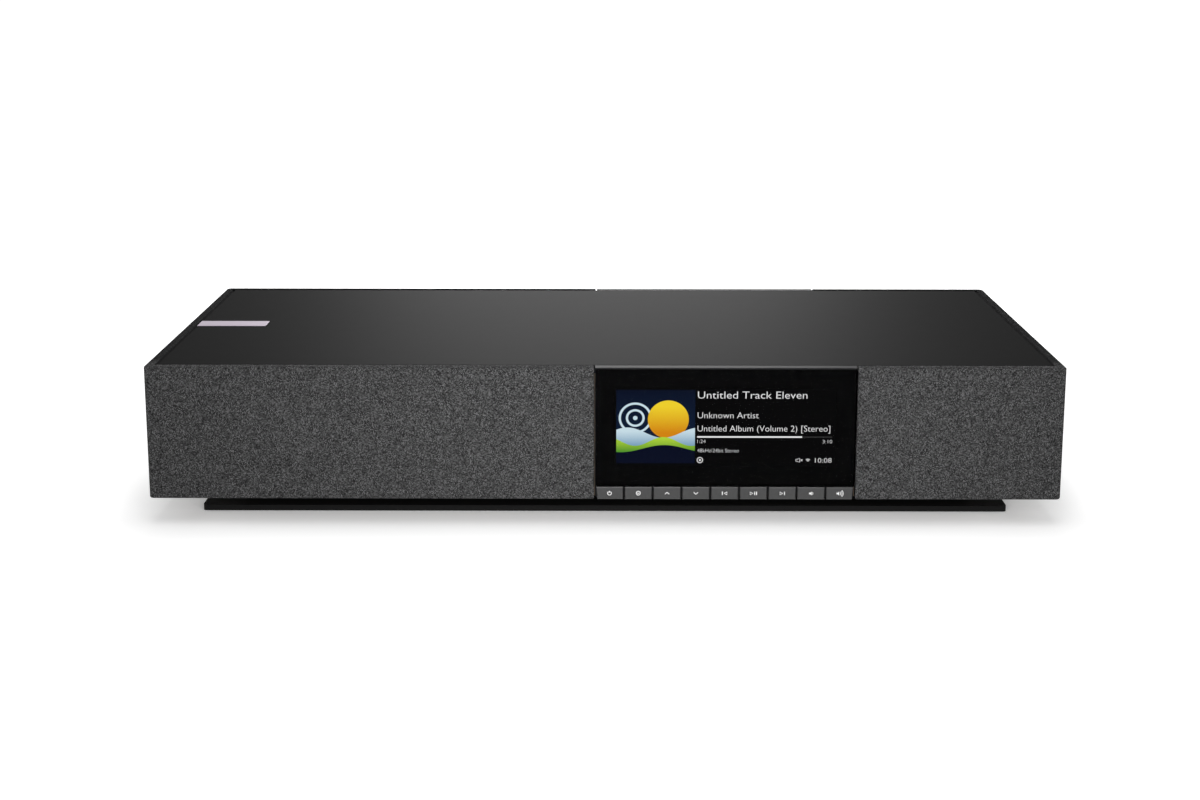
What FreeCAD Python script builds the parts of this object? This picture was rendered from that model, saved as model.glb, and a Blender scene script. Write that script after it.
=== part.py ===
"""A low, wide one-box wireless speaker with a screen and a row of keys, taken apart into its pieces.

Frame: +X to the right as a listener sees the front, +Y to the back, +Z up, millimetres. The origin is on the
surface that the speaker stands on, under the middle of its box. Each piece is written to parts/NAME.step.
"""

import FreeCAD
import Part
import math
import os

Vector = FreeCAD.Vector

# How far a cutting shape runs past the face that it cuts
over = 1.0

# Overall box
width = 685.0
depth = 291.0
body_height = 101.5
undercut = 16.0
plate_thickness = 4.5
foot_height = 1.0

# Cloth-covered band round the cabinet
rim = 7.6
seam = 0.8
cloth = 0.8
frame_wall = 2.4
corner_radius = 4.0
edge_ease = 1.0
window_width = 26.0
window_rib = 6.0
window_margin = 3.0
peg_size = 5.0
peg_depth = 5.0
peg_clearance = 0.15

# Cabinet boards and lid
wall = 8.0
divider_wall = 6.0
lid_thickness = 6.0
lid_chamfer = 0.6

# Accent strip let into the lid
strip_length = 56.0
strip_width = 18.0
strip_thickness = 1.5
strip_proud = 0.2
strip_clearance = 0.1

# Screen and key module, and the rear module behind it
button_count = 9
button_pitch = 21.6
module_margin = 155.3
module_seam = 0.8
lip = 1.0
lip_chamfer = 0.6
glass_thickness = 2.0
glass_gap = 0.3
screen_side_margin = 15.0
screen_end_margin = 15.4
screen_border = 3.0
screen_clearance = 0.5
backplate_thickness = 1.0
backplate_lap = 4.5
tray_inset = 3.0
tray_wall = 2.0
tray_floor = 1.2
fit_clearance = 0.3

# Keys
button_height = 9.5
button_gap = 1.2
button_depth = 4.6
button_travel = 0.8
button_chamfer = 0.6
end_draft = 1.0
guide_wall = 1.8
stem_width = 6.0
stem_height = 4.0
stem_length = 5.8
stem_clearance = 0.3
barb = 0.8
barb_length = 1.0
switch_size = 6.0
switch_depth = 3.2
switch_gap = 0.15
plunger_size = 3.0
plunger_length = 1.0
board_thickness = 1.6

# Plinth
plate_inset = 32.5
plate_radius = 3.0
riser_inset = 58.0
foot_inset = 3.0
foot_width = 24.0
screw_inset = 12.0
screw_radius = 2.0
screw_head_radius = 4.0
screw_head_height = 2.5
screw_bite = 5.0
screw_clearance = 0.15
rod_sides = 8

# Drivers
driver_gap = 5.6
driver_flange = 2.5
driver_clearance = 0.3
woofer_radius = 36.0
woofer_lap = 5.0
woofer_travel = 3.0
woofer_depth = 18.0
surround_width = 6.0
surround_skin = 0.7
surround_rise = 2.0
cone_skin = 0.9
cone_sink = 1.0
cone_depth = 11.0
cap_radius = 12.0
cap_rise = 2.0
coil_radius = 10.4
coil_wall = 0.8
coil_gap = 0.55
coil_clearance = 1.0
leg_thickness = 2.0
leg_width = 8.0
magnet_radius = 24.0
magnet_length = 13.0
magnet_bore_depth = 9.0
tweeter_radius = 17.0
tweeter_travel = 0.3
tweeter_magnet_radius = 14.0
tweeter_magnet_length = 11.0
dome_radius = 12.0
dome_skin = 0.5
dome_rise = 2.0

# Rear connector bay
bay_margin = 11.2
bay_height = 68.0
bay_depth = 18.0
connector_plate_thickness = 1.5
connector_plate_lap = 5.0
hole_clearance = 0.2
socket_length = 12.4
socket_proud = 0.6
socket_skin = 0.5
socket_cavity = 10.0
rear_screw_inset = 4.4
rear_screw_margin = 15.0
rear_screw_radius = 1.5
rear_screw_head_radius = 2.8
rear_screw_head_height = 1.6
rear_screw_length = 12.0

# Connectors: the earth post's and inlet's distance from the bay's ends, and the steps from the post inwards
ground_margin = 14.0
inlet_margin = 22.0
jack_step = 20.0
optical_step = 22.0
video_step = 21.0
service_step = 21.0
network_step = 22.0
jack_pitch = 14.0
jack_flange = 11.0
jack_collar = 1.5
jack_radius = 4.15
jack_bore = 1.6
jack_bore_floor = 1.0
jack_length = 9.0
video_width = 15.2
video_height = 5.8
video_tongue = 11.0
service_width = 13.2
service_height = 6.0
service_tongue = 10.6
tongue_thickness = 1.2
tongue_sink = 1.5
network_width = 16.0
network_height = 13.6
network_skin = 2.2
latch_width = 6.2
latch_height = 1.3
optical_width = 13.0
optical_height = 10.4
optical_skin = 1.8
flap_thickness = 0.9
flap_pin = 0.6
flap_recess = 0.8
flap_clearance = 0.25
pin_clearance = 0.06
pin_reach = 0.8
inlet_width = 27.6
inlet_height = 20.0
inlet_flange_width = 32.0
inlet_flange_height = 24.5
inlet_flange_thickness = 2.5
inlet_depth = 21.0
inlet_floor = 3.5
inlet_skin = 1.7
inlet_bevel = 4.5
mains_pin_width = 2.0
mains_pin_height = 4.0
mains_pin_length = 10.5
mains_pin_pitch = 7.0
mains_pin_rise = 2.0
ground_base = 7.0
ground_base_thickness = 1.5
ground_tail = 4.6
ground_tail_length = 2.0
ground_radius = 2.0
ground_length = 12.0
nut_radius = 5.5
nut_length = 5.0
nut_clearance = 0.05
nut_teeth = 16
nut_tooth = 0.5

# Boards in the middle of the cabinet
standoff_size = 7.0
standoff_height = 6.0
board_margin = 10.0
sink_width = 100.0
sink_depth = 44.0
sink_height = 32.0
sink_base = 4.0
fin_thickness = 2.0
fin_pitch = 9.0
part_gap = 15.0
yoke_width = 40.0
yoke_depth = 34.0
yoke_height = 24.0
yoke_foot = 6.0
bobbin_width = 24.0
bobbin_depth = 42.0
bobbin_height = 36.0
antenna_length = 30.0
antenna_height = 12.0
antenna_thickness = 1.0
cable_width = 24.0
cable_thickness = 0.4
cable_sag = 12.0
cable_slot = 4.0

# Planes and places that follow from the sizes above
left, right = -width / 2, width / 2
front, back = -depth / 2, depth / 2
plate_top = foot_height + plate_thickness
body_bottom = plate_top + undercut
body_top = body_bottom + body_height
body_middle = (body_bottom + body_top) / 2
core_left, core_right = left + rim + seam, right - rim - seam
core_front, core_back = front + rim + seam, back - rim - seam
core_top = body_top - lid_thickness
floor_top = body_bottom + wall
skin = cloth + frame_wall

module_right = right - module_margin
module_left = module_right - button_count * button_pitch
module_offset = (module_left + module_right) / 2
key_top = body_bottom + button_height
key_ceiling = key_top + button_gap / 2
key_middle = body_bottom + button_height / 2
glass_top = body_top - lip
glass_middle = (key_ceiling + glass_top) / 2
screen_width = module_right - module_left - 2 * screen_side_margin
screen_height = glass_top - key_ceiling - 2 * screen_end_margin
module_back = front + rim
tray_left, tray_right = module_left + tray_inset, module_right - tray_inset
guide_front = module_back - guide_wall
stem_end = front + button_depth + stem_length
switch_front = stem_end + button_travel + switch_gap + plunger_length
key_board_front = switch_front + switch_depth
tray_back = key_board_front + board_thickness + tray_wall
cable_height = core_top - 4 * tray_wall

chamber_middle = (floor_top + core_top) / 2
tweeter_place = core_right - wall - driver_gap - tweeter_radius
woofer_place = tweeter_place - tweeter_radius - driver_gap - woofer_radius
driver_front = core_front - driver_flange
woofer_mouth = woofer_radius - woofer_lap
cone_radius = woofer_mouth - surround_width
magnet_bore = coil_radius + coil_gap

bay_width = module_right - module_left - 2 * bay_margin
ground_place = bay_width / 2 - ground_margin
jack_place = ground_place - jack_step
optical_place = jack_place - optical_step
video_place = optical_place - video_step
service_place = video_place - service_step
network_place = service_place - network_step
inlet_place = inlet_margin - bay_width / 2
bay_floor = back - bay_depth
plate_back_face = bay_floor - connector_plate_thickness
main_board_back = plate_back_face - socket_length
mouth = bay_floor + socket_proud
bay_left = module_offset - bay_width / 2 - tray_wall
bay_right = module_offset + bay_width / 2 + tray_wall
board_level = floor_top + standoff_height
parts_level = board_level + board_thickness


def block(x, y, z):
    """A solid between low and high along each axis."""
    return Part.makeBox(x[1] - x[0], y[1] - y[0], z[1] - z[0], Vector(x[0], y[0], z[0]))


def centred(x, z, size_x, size_z, y):
    """A solid of a given width and height round a point, between two depths."""
    return block((x - size_x / 2, x + size_x / 2), y, (z - size_z / 2, z + size_z / 2))


def extruded(points, y):
    """An outline of (x, z) points, carried from one depth to another."""
    corners = [Vector(px, y[0], pz) for px, pz in points]
    return Part.Face(Part.makePolygon(corners + corners[:1])).extrude(Vector(0, y[1] - y[0], 0))


def turned(profile, base):
    """A profile of (radius, distance back) points, turned about the axis that runs back through base."""
    x, y, z = base
    points = [Vector(x + r, y + t, z) for r, t in profile]
    return Part.Face(Part.makePolygon(points + points[:1])).revolve(Vector(*base), Vector(0, 1, 0), 360)


def disc(radius, y, x, z):
    """A round solid on an axis that runs back, between two depths."""
    return Part.makeCylinder(radius, y[1] - y[0], Vector(x, y[0], z), Vector(0, 1, 0))


def thin_rod(radius, start, end):
    """A screw or a fine pin, or the hole for one, with few sides because they are small and repeat."""
    axis = end - start
    rod = Part.makeCircle(radius, start, axis)
    corners = [rod.valueAt(rod.FirstParameter + 2 * math.pi * i / rod_sides) for i in range(rod_sides)]
    return Part.Face(Part.makePolygon(corners + corners[:1])).extrude(axis)


def joined(shapes):
    """Several touching solids as one."""
    return shapes[0].fuse(shapes[1:]).removeSplitter()


def edges_at(shape, axis, value):
    """The edges that lie wholly in one plane square to an axis."""
    low, high = axis + "Min", axis + "Max"
    near = 0.001
    return [e for e in shape.Edges
            if abs(getattr(e.BoundBox, low) - value) < near and abs(getattr(e.BoundBox, high) - value) < near]


def with_round_corners(body, radius):
    """A block whose upright edges are rounded."""
    tall = body.BoundBox.ZLength
    return body.makeFillet(radius, [e for e in body.Edges if abs(e.BoundBox.ZLength - tall) < 0.001])


def places_between(start, end, pitch):
    """As many places as fit between two limits at a pitch, centred."""
    count = int((end - start) // pitch)
    first = (start + end - (count - 1) * pitch) / 2
    return [first + i * pitch for i in range(count)]


# Cloth band

def band(taken_in):
    """The cabinet's outer block, taken in on every side."""
    body = block((left + taken_in, right - taken_in), (front + taken_in, back - taken_in),
                 (body_bottom + taken_in, body_top - taken_in))
    return with_round_corners(body, corner_radius - taken_in)


def soft_band():
    """The outer block with its top and bottom edges eased, as the cloth turns over them."""
    body = band(0)
    return body.makeChamfer(edge_ease, edges_at(body, "Z", body_bottom) + edges_at(body, "Z", body_top))


def beside_module(side, taken_in):
    """The space to one side of the screen, ending short of it by the seam and more."""
    if side == "left":
        x = (left - over, module_left - module_seam - taken_in)
    else:
        x = (module_right + module_seam + taken_in, right + over)
    return block(x, (front - over, back + over), (body_bottom - over, body_top + over))


def well():
    """The space inside the band, open at top and bottom."""
    return block((left + rim, right - rim), (front + rim, back - rim), (body_bottom - over, body_top + over))


def grille_cloth(side):
    """The cloth: a skin over the frame's outside, its upper and lower flanges and its two ends."""
    inside = band(cloth).common(beside_module(side, cloth))
    return soft_band().common(beside_module(side, 0)).cut([well(), inside])


def window_places(side):
    """Where the windows of one frame stand: along its front and back walls, and along its end wall."""
    pitch = window_width + window_rib
    if side == "left":
        run = (left + corner_radius + skin, module_left - module_seam - skin)
    else:
        run = (module_right + module_seam + skin, right - corner_radius - skin)
    end_run = (front + corner_radius + skin, back - corner_radius - skin)
    return places_between(*run, pitch), places_between(*end_run, pitch)


def grille_pegs(side, grown):
    """Square pegs behind the frame's ribs, which plug into the boards; grown, they are the sockets."""
    step = (window_width + window_rib) / 2
    half = peg_size / 2 + grown
    reach = peg_depth + grown
    along, across = window_places(side)
    heights = (body_bottom + wall / 2, core_top - wall / 2)
    pegs = []
    for x, z in zip((along[0] + step, along[-1] - step), heights):
        for y in ((front + skin, core_front + reach), (core_back - reach, back - skin)):
            pegs.append(block((x - half, x + half), y, (z - half, z + half)))
    span = (left + skin, core_left + reach) if side == "left" else (core_right - reach, right - skin)
    for y, z in zip((across[0] + step, across[-1] - step), heights):
        pegs.append(block(span, (y - half, y + half), (z - half, z + half)))
    return pegs


def grille_frame(side):
    """The frame under the cloth: a wrap-round channel with tall windows, flanges inwards and pegs."""
    channel = block((left + skin, right - skin), (front + skin, back - skin),
                    (body_bottom + skin, body_top - skin)).common(beside_module(side, skin))
    z = (body_bottom + skin + window_margin, body_top - skin - window_margin)
    half = window_width / 2
    along, across = window_places(side)
    end = (left - over, left + rim) if side == "left" else (right - rim, right + over)
    windows = [block((x - half, x + half), (front - over, back + over), z) for x in along]
    windows += [block(end, (y - half, y + half), z) for y in across]
    frame = band(cloth).common(beside_module(side, cloth)).cut([well(), channel] + windows)
    return joined([frame] + grille_pegs(side, 0))


# Cabinet boards and lid

def screw_axes():
    """Where the four plinth screws stand."""
    x = width / 2 - riser_inset - screw_inset
    y = depth / 2 - riser_inset - screw_inset
    return [(sx * x, sy * y) for sx in (-1, 1) for sy in (-1, 1)]


def upright_rods(radius, z):
    """A many-sided rod at each plinth screw."""
    return [thin_rod(radius, Vector(x, y, z[0]), Vector(x, y, z[1])) for x, y in screw_axes()]


def peg_sockets():
    return grille_pegs("left", peg_clearance) + grille_pegs("right", peg_clearance)


def cabinet_floor():
    """The bottom board, notched at the front for the screen's tray."""
    board = block((core_left, core_right), (core_front, core_back), (body_bottom, floor_top))
    notch = block((tray_left - fit_clearance, tray_right + fit_clearance),
                  (core_front - over, tray_back + fit_clearance), (body_bottom - over, floor_top + over))
    bore_top = body_bottom + screw_bite + screw_clearance
    bores = upright_rods(screw_radius + screw_clearance, (body_bottom - over, bore_top))
    return board.cut([notch] + bores + peg_sockets())


def baffles():
    """The two front boards, one each side of the screen, with round holes for two drivers in each."""
    through = (core_front - over, core_front + wall + over)
    holes = []
    for place, radius in ((woofer_place, woofer_mouth), (tweeter_place, tweeter_magnet_radius)):
        holes += [disc(radius + driver_clearance, through, x, chamber_middle) for x in (-place, place)]
    boards = []
    for x in ((core_left, tray_left - fit_clearance), (tray_right + fit_clearance, core_right)):
        board = block(x, (core_front, core_front + wall), (floor_top, core_top))
        boards.append(board.cut(holes + peg_sockets()))
    return Part.makeCompound(boards)


def rear_boards():
    """The two back boards, one each side of the connector bay."""
    inside = core_back - wall - over
    bores = [thin_rod(rear_screw_radius + screw_clearance, Vector(x, inside, z), Vector(x, back, z))
             for x, z in rear_screw_axes()]
    boards = []
    for x in ((core_left, bay_left - fit_clearance), (bay_right + fit_clearance, core_right)):
        board = block(x, (core_back - wall, core_back), (floor_top, core_top))
        boards.append(board.cut(bores + peg_sockets()))
    return Part.makeCompound(boards)


def end_boards():
    y = (core_front + wall, core_back - wall)
    boards = []
    for x in ((core_left, core_left + wall), (core_right - wall, core_right)):
        boards.append(block(x, y, (floor_top, core_top)).cut(peg_sockets()))
    return Part.makeCompound(boards)


def dividers():
    """The two boards that close the sound chambers off from the electronics."""
    y = (core_front + wall, core_back - wall)
    spans = ((module_left - divider_wall, module_left), (module_right, module_right + divider_wall))
    return Part.makeCompound([block(x, y, (floor_top, core_top)) for x in spans])


def top_panel():
    """The lid that drops inside the cloth band, with a shallow pocket for the accent strip."""
    panel = block((core_left, core_right), (core_front, core_back), (core_top, body_top))
    panel = panel.makeChamfer(lid_chamfer, edges_at(panel, "Z", body_top))
    half = strip_width / 2 + strip_clearance
    pocket = block((core_left - over, core_left + strip_length + strip_clearance), (-half, half),
                   (body_top + strip_proud - strip_thickness, body_top + over))
    return panel.cut(pocket)


def accent_strip():
    """The metal strip at the lid's left edge."""
    half = strip_width / 2
    z = (body_top + strip_proud - strip_thickness, body_top + strip_proud)
    strip = block((core_left, core_left + strip_length), (-half, half), z)
    return strip.makeChamfer(strip_proud, edges_at(strip, "Z", z[1]))


# Screen and keys

def button_centres():
    return [module_left + (i + 0.5) * button_pitch for i in range(button_count)]


def display_housing():
    """The moulding that carries the glass, the screen and the keys, with a tray let into the cabinet."""
    full = (module_left, module_right)
    ledge = block(full, (front, module_back), (glass_top, body_top))
    crest = [e for e in edges_at(ledge, "Z", body_top) if e.BoundBox.YMax < front + 0.001]
    housing = joined([
        ledge.makeChamfer(lip_chamfer, crest),
        block(full, (front + glass_thickness, module_back), (key_ceiling, body_top)),
        block(full, (guide_front, module_back), (body_bottom, key_ceiling)),
        block((tray_left, tray_right), (module_back, tray_back), (body_bottom, core_top)),
    ])
    inside = (tray_left + tray_wall, tray_right - tray_wall)
    run = (module_back, tray_back - tray_wall)
    shelf = key_ceiling + tray_wall
    cuts = [
        centred(module_offset, glass_middle, screen_width + 2 * (screen_border + screen_clearance),
                screen_height + 2 * (screen_border + screen_clearance), (front, module_back + over)),
        block(inside, run, (shelf + tray_wall, core_top - tray_wall)),
        block(inside, run, (body_bottom + tray_floor, shelf)),
        centred(module_offset, cable_height, cable_width + tray_wall, cable_slot,
                (tray_back - tray_wall - over, tray_back + over)),
    ]
    for x in button_centres():
        cuts.append(centred(x, key_middle, stem_width + 2 * stem_clearance, stem_height + 2 * stem_clearance,
                            (guide_front - over, module_back + over)))
    return housing.cut(cuts)


def cover_glass():
    return block((module_left + glass_gap, module_right - glass_gap), (front, front + glass_thickness),
                 (key_ceiling, glass_top))


def lcd_module():
    return centred(module_offset, glass_middle, screen_width + 2 * screen_border,
                   screen_height + 2 * screen_border, (front + glass_thickness, module_back))


def lcd_backplate():
    """The plate that clamps the screen against the glass."""
    lap = 2 * (screen_border + screen_clearance + backplate_lap)
    return centred(module_offset, glass_middle, screen_width + lap, screen_height + lap,
                   (module_back, module_back + backplate_thickness))


def key_board():
    z = (body_bottom + tray_floor + fit_clearance, key_ceiling + tray_wall - fit_clearance)
    inset = tray_wall + fit_clearance
    y = (key_board_front, key_board_front + board_thickness)
    return block((tray_left + inset, tray_right - inset), y, z)


def key_switches():
    """One switch behind each key: a square body and its plunger."""
    switches = []
    for x in button_centres():
        body = centred(x, key_middle, switch_size, switch_size, (switch_front, key_board_front))
        tip = centred(x, key_middle, plunger_size, plunger_size, (switch_front - plunger_length, switch_front))
        switches.append(joined([body, tip]))
    return Part.makeCompound(switches)


def button(index):
    """One key: a bevelled cap, a stem through the guide wall and a barb behind it."""
    x = button_centres()[index]
    half = (button_pitch - button_gap) / 2
    foot_low = x - half + (end_draft if index == 0 else 0)
    foot_high = x + half - (end_draft if index == button_count - 1 else 0)
    outline = [(foot_low, body_bottom), (foot_high, body_bottom), (x + half, key_top), (x - half, key_top)]
    cap = extruded(outline, (front, front + button_depth))
    cap = cap.makeChamfer(button_chamfer, edges_at(cap, "Y", front))
    stem = centred(x, key_middle, stem_width, stem_height, (front + button_depth, stem_end))
    catch = centred(x, key_middle, stem_width + 2 * barb, stem_height,
                    (module_back + stem_clearance, module_back + stem_clearance + barb_length))
    return joined([cap, stem, catch])


# Plinth

def plinth_plate():
    body = block((left + plate_inset, right - plate_inset), (front + plate_inset, back - plate_inset),
                 (foot_height, plate_top))
    bores = upright_rods(screw_radius + screw_clearance, (foot_height - over, plate_top + over))
    seat = (foot_height - over, foot_height + screw_head_height)
    seats = upright_rods(screw_head_radius + screw_clearance, seat)
    return with_round_corners(body, plate_radius).cut(bores + seats)


def plinth_riser():
    """The block that lifts the cabinet off the plate."""
    body = block((left + riser_inset, right - riser_inset), (front + riser_inset, back - riser_inset),
                 (plate_top, body_bottom))
    return body.cut(upright_rods(screw_radius + screw_clearance, (plate_top - over, body_bottom + over)))


def plinth_screws():
    """Four screws, from under the plate up through the riser into the cabinet floor."""
    neck = foot_height + screw_head_height
    heads = upright_rods(screw_head_radius, (foot_height, neck))
    shanks = upright_rods(screw_radius, (neck, body_bottom + screw_bite))
    return Part.makeCompound([joined([head, shank]) for head, shank in zip(heads, shanks)])


def feet():
    """Two long rubber strips under the plate, at its front and back edges."""
    x = (left + plate_inset + foot_inset, right - plate_inset - foot_inset)
    near, far = front + plate_inset + foot_inset, back - plate_inset - foot_inset
    return Part.makeCompound([block(x, (near, near + foot_width), (0, foot_height)),
                              block(x, (far - foot_width, far), (0, foot_height))])


# Drivers, whose profiles are (radius, distance back from the flange's front)

def pair_of(profile, place):
    """The same turned piece at the left and the right driver, as one group."""
    return Part.makeCompound([turned(profile, (x, driver_front, chamber_middle)) for x in (-place, place)])


def woofer_baskets():
    """Each frame: a flange on the baffle and four legs, whose toes carry the magnet."""
    outer = woofer_mouth - driver_clearance
    inner = outer - leg_thickness
    foot = magnet_radius - leg_thickness / 2
    toe = foot - 2 * leg_thickness
    heel = woofer_depth - leg_thickness
    baskets = []
    for x in (-woofer_place, woofer_place):
        base = (x, driver_front, chamber_middle)
        rim_profile = [(inner, 0), (woofer_radius, 0), (woofer_radius, driver_flange), (inner, driver_flange)]
        pieces = [turned(rim_profile, base)]
        for quarter in range(4):
            points = [Vector(x + r, driver_front + t, chamber_middle - leg_width / 2)
                      for r, t in ((inner, 0), (outer, driver_flange), (foot, heel), (foot, woofer_depth),
                                   (toe, woofer_depth))]
            leg = Part.Face(Part.makePolygon(points + points[:1])).extrude(Vector(0, 0, leg_width))
            leg.rotate(Vector(*base), Vector(0, 1, 0), 90 * quarter)
            pieces.append(leg)
        baskets.append(joined(pieces))
    return Part.makeCompound(baskets)


def woofer_magnets():
    """The magnets, each with the blind bore that the coil runs in."""
    floor = woofer_depth + magnet_bore_depth
    end = woofer_depth + magnet_length
    return pair_of([(magnet_bore, woofer_depth), (magnet_radius, woofer_depth), (magnet_radius, end), (0, end),
                    (0, floor), (magnet_bore, floor)], woofer_place)


def woofer_surrounds():
    """The rubber rings between each cone's edge and its flange, with a low roll."""
    inner = cone_radius + driver_clearance
    outer = woofer_radius - surround_skin
    peak = (inner + woofer_mouth) / 2
    return pair_of([(inner, 0), (peak, -surround_rise), (outer, -surround_skin), (outer, 0)], woofer_place)


def woofer_cones():
    """The parts that move: cone, dust cap and coil former in one."""
    slope = cone_depth / (cone_radius - coil_radius)
    cap_edge = cone_sink + (cone_radius - cap_radius) * slope
    neck = cone_sink + cone_depth + cone_skin
    coil_end = woofer_depth + magnet_bore_depth - woofer_travel - coil_clearance
    bore = coil_radius - coil_wall
    return pair_of([(0, cap_edge - cap_rise), (cap_radius, cap_edge), (cone_radius, cone_sink),
                    (cone_radius, cone_sink + cone_skin), (coil_radius, neck), (coil_radius, coil_end),
                    (bore, coil_end), (bore, cap_edge), (0, cap_edge)], woofer_place)


def tweeter_plates():
    hole = dome_radius + coil_gap
    return pair_of([(hole, 0), (tweeter_radius, 0), (tweeter_radius, driver_flange), (hole, driver_flange)],
                   tweeter_place)


def tweeter_magnets():
    end = driver_flange + tweeter_magnet_length
    return pair_of([(0, driver_flange), (tweeter_magnet_radius, driver_flange), (tweeter_magnet_radius, end),
                    (0, end)], tweeter_place)


def tweeter_domes():
    """The domes, each with a short skirt for its coil."""
    skirt = driver_flange - tweeter_travel - driver_clearance
    inner = dome_radius - dome_skin
    return pair_of([(0, -dome_rise), (dome_radius, 0), (dome_radius, skirt), (inner, skirt),
                    (inner, dome_skin), (0, dome_skin)], tweeter_place)


# Rear connector bay

def rear_screw_axes():
    xs = (module_left + rear_screw_inset, module_right - rear_screw_inset)
    zs = (body_bottom + rear_screw_margin, body_top - rear_screw_margin)
    return [(x, z) for x in xs for z in zs]


def rear_housing():
    """The moulding round the connector bay, flush with the cloth band."""
    flange = block((module_left, module_right), (back - rim, back), (body_bottom, body_top))
    crest = [e for e in edges_at(flange, "Z", body_top) if e.BoundBox.YMin > back - 0.001]
    shell = joined([
        flange.makeChamfer(lip_chamfer, crest),
        centred(module_offset, body_middle, bay_right - bay_left, bay_height + 2 * tray_wall,
                (bay_floor, back - rim)),
    ])
    cuts = [centred(module_offset, body_middle, bay_width, bay_height, (bay_floor - over, back + over))]
    for x, z in rear_screw_axes():
        neck = Vector(x, back - rear_screw_head_height, z)
        cuts.append(thin_rod(rear_screw_head_radius + screw_clearance, neck, Vector(x, back + over, z)))
        cuts.append(thin_rod(rear_screw_radius + screw_clearance, Vector(x, back - rim - over, z), neck))
    return shell.cut(cuts)


def rear_screws():
    """Four screws that hold the rear housing to the back boards."""
    screws = []
    for x, z in rear_screw_axes():
        neck = Vector(x, back - rear_screw_head_height, z)
        head = thin_rod(rear_screw_head_radius, neck, Vector(x, back, z))
        shank = thin_rod(rear_screw_radius, Vector(x, back - rear_screw_length, z), neck)
        screws.append(joined([head, shank]))
    return Part.makeCompound(screws)


def jack_heights():
    return body_middle - jack_pitch / 2, body_middle + jack_pitch / 2


def connector_plate():
    """The steel plate at the bottom of the bay, with a hole for each connector."""
    lap = 2 * connector_plate_lap
    plate = centred(module_offset, body_middle, bay_width + lap, bay_height + lap,
                    (plate_back_face, bay_floor))
    gap = 2 * hole_clearance
    through = (plate_back_face - over, bay_floor + over)
    sizes = [(jack_place, z, jack_flange - jack_collar, jack_flange - jack_collar) for z in jack_heights()]
    sizes += [
        (video_place, body_middle, video_width, video_height),
        (service_place, body_middle, service_width, service_height),
        (network_place, body_middle, network_width, network_height),
        (optical_place, body_middle, optical_width, optical_height),
        (inlet_place, body_middle, inlet_width, inlet_height),
        (ground_place, body_middle, ground_tail, ground_tail),
    ]
    return plate.cut([centred(module_offset + place, z, size_x + gap, size_z + gap, through)
                      for place, z, size_x, size_z in sizes])


def audio_jacks():
    """The pair of round audio sockets, one above the other."""
    x = module_offset + jack_place
    seat = bay_floor + jack_collar
    size = jack_flange - jack_collar
    pair = []
    for z in jack_heights():
        jack = joined([
            centred(x, z, size, size, (main_board_back, bay_floor)),
            centred(x, z, jack_flange, jack_flange, (bay_floor, seat)),
            disc(jack_radius, (seat, seat + jack_length), x, z),
        ])
        pair.append(jack.cut(disc(jack_bore, (seat + jack_bore_floor, seat + jack_length + over), x, z)))
    return Part.makeCompound(pair)


def box_socket(place, size_x, size_z, wall_size, cavity):
    """A box on the upright board that stands through the plate, with an open mouth at the back."""
    x = module_offset + place
    body = centred(x, body_middle, size_x, size_z, (main_board_back, mouth))
    return body.cut(centred(x, body_middle, size_x - 2 * wall_size, size_z - 2 * wall_size,
                            (mouth - cavity, mouth + over)))


def tongued_socket(place, size_x, size_z, tongue):
    """A box socket with a contact tongue inside."""
    blade = centred(module_offset + place, body_middle, tongue, tongue_thickness,
                    (mouth - socket_cavity - over, mouth - tongue_sink))
    return joined([box_socket(place, size_x, size_z, socket_skin, socket_cavity), blade])


def network_socket():
    """A network socket with its latch notch at the bottom."""
    body = box_socket(network_place, network_width, network_height, network_skin, socket_cavity)
    notch_top = body_middle - network_height / 2 + network_skin
    x, z = module_offset + network_place, notch_top - latch_height / 2
    return body.cut(centred(x, z, latch_width, latch_height, (mouth - socket_cavity, mouth + over)))


def flap_hinge():
    """The middle of the flap's hinge line, at the top of the optical socket's mouth."""
    room_top = body_middle + optical_height / 2 - optical_skin
    return Vector(module_offset + optical_place, mouth - flap_recess - flap_pin,
                  room_top - flap_pin - flap_clearance)


def rod_across(radius, half_length):
    """A rod on the flap's hinge line."""
    reach = Vector(half_length, 0, 0)
    return thin_rod(radius, flap_hinge() - reach, flap_hinge() + reach)


def optical_socket():
    """A light-cable socket, with a hole in each cheek for the flap's pin."""
    body = box_socket(optical_place, optical_width, optical_height, optical_skin, socket_cavity)
    room = optical_width / 2 - optical_skin
    return body.cut(rod_across(flap_pin + pin_clearance, room + pin_reach + pin_clearance))


def optical_flap():
    """The spring flap that closes the light-cable socket, with a pin at each end of its top edge."""
    hinge = flap_hinge()
    room = optical_width / 2 - optical_skin
    half = room - flap_clearance
    low = body_middle - optical_height / 2 + optical_skin + flap_clearance
    leaf = block((hinge.x - half, hinge.x + half), (hinge.y + flap_pin - flap_thickness, hinge.y + flap_pin),
                 (low, hinge.z))
    return joined([leaf, rod_across(flap_pin, room + pin_reach)])


def mains_inlet():
    """The three-pin mains inlet: a flange on the plate, a body behind it and the cavity for the plug."""
    x = module_offset + inlet_place
    flange_back = bay_floor + inlet_flange_thickness
    flange = centred(x, body_middle, inlet_flange_width, inlet_flange_height, (bay_floor, flange_back))
    body = centred(x, body_middle, inlet_width, inlet_height, (bay_floor - inlet_depth, bay_floor))
    half_x, half_z = inlet_width / 2 - inlet_skin, inlet_height / 2 - inlet_skin
    low, high = body_middle - half_z, body_middle + half_z
    shoulder, crown = high - inlet_bevel, half_x - inlet_bevel
    outline = [(x - half_x, low), (x + half_x, low), (x + half_x, shoulder), (x + crown, high),
               (x - crown, high), (x - half_x, shoulder)]
    cavity = extruded(outline, (bay_floor - inlet_depth + inlet_floor, flange_back + over))
    return joined([flange, body]).cut(cavity)


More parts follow.
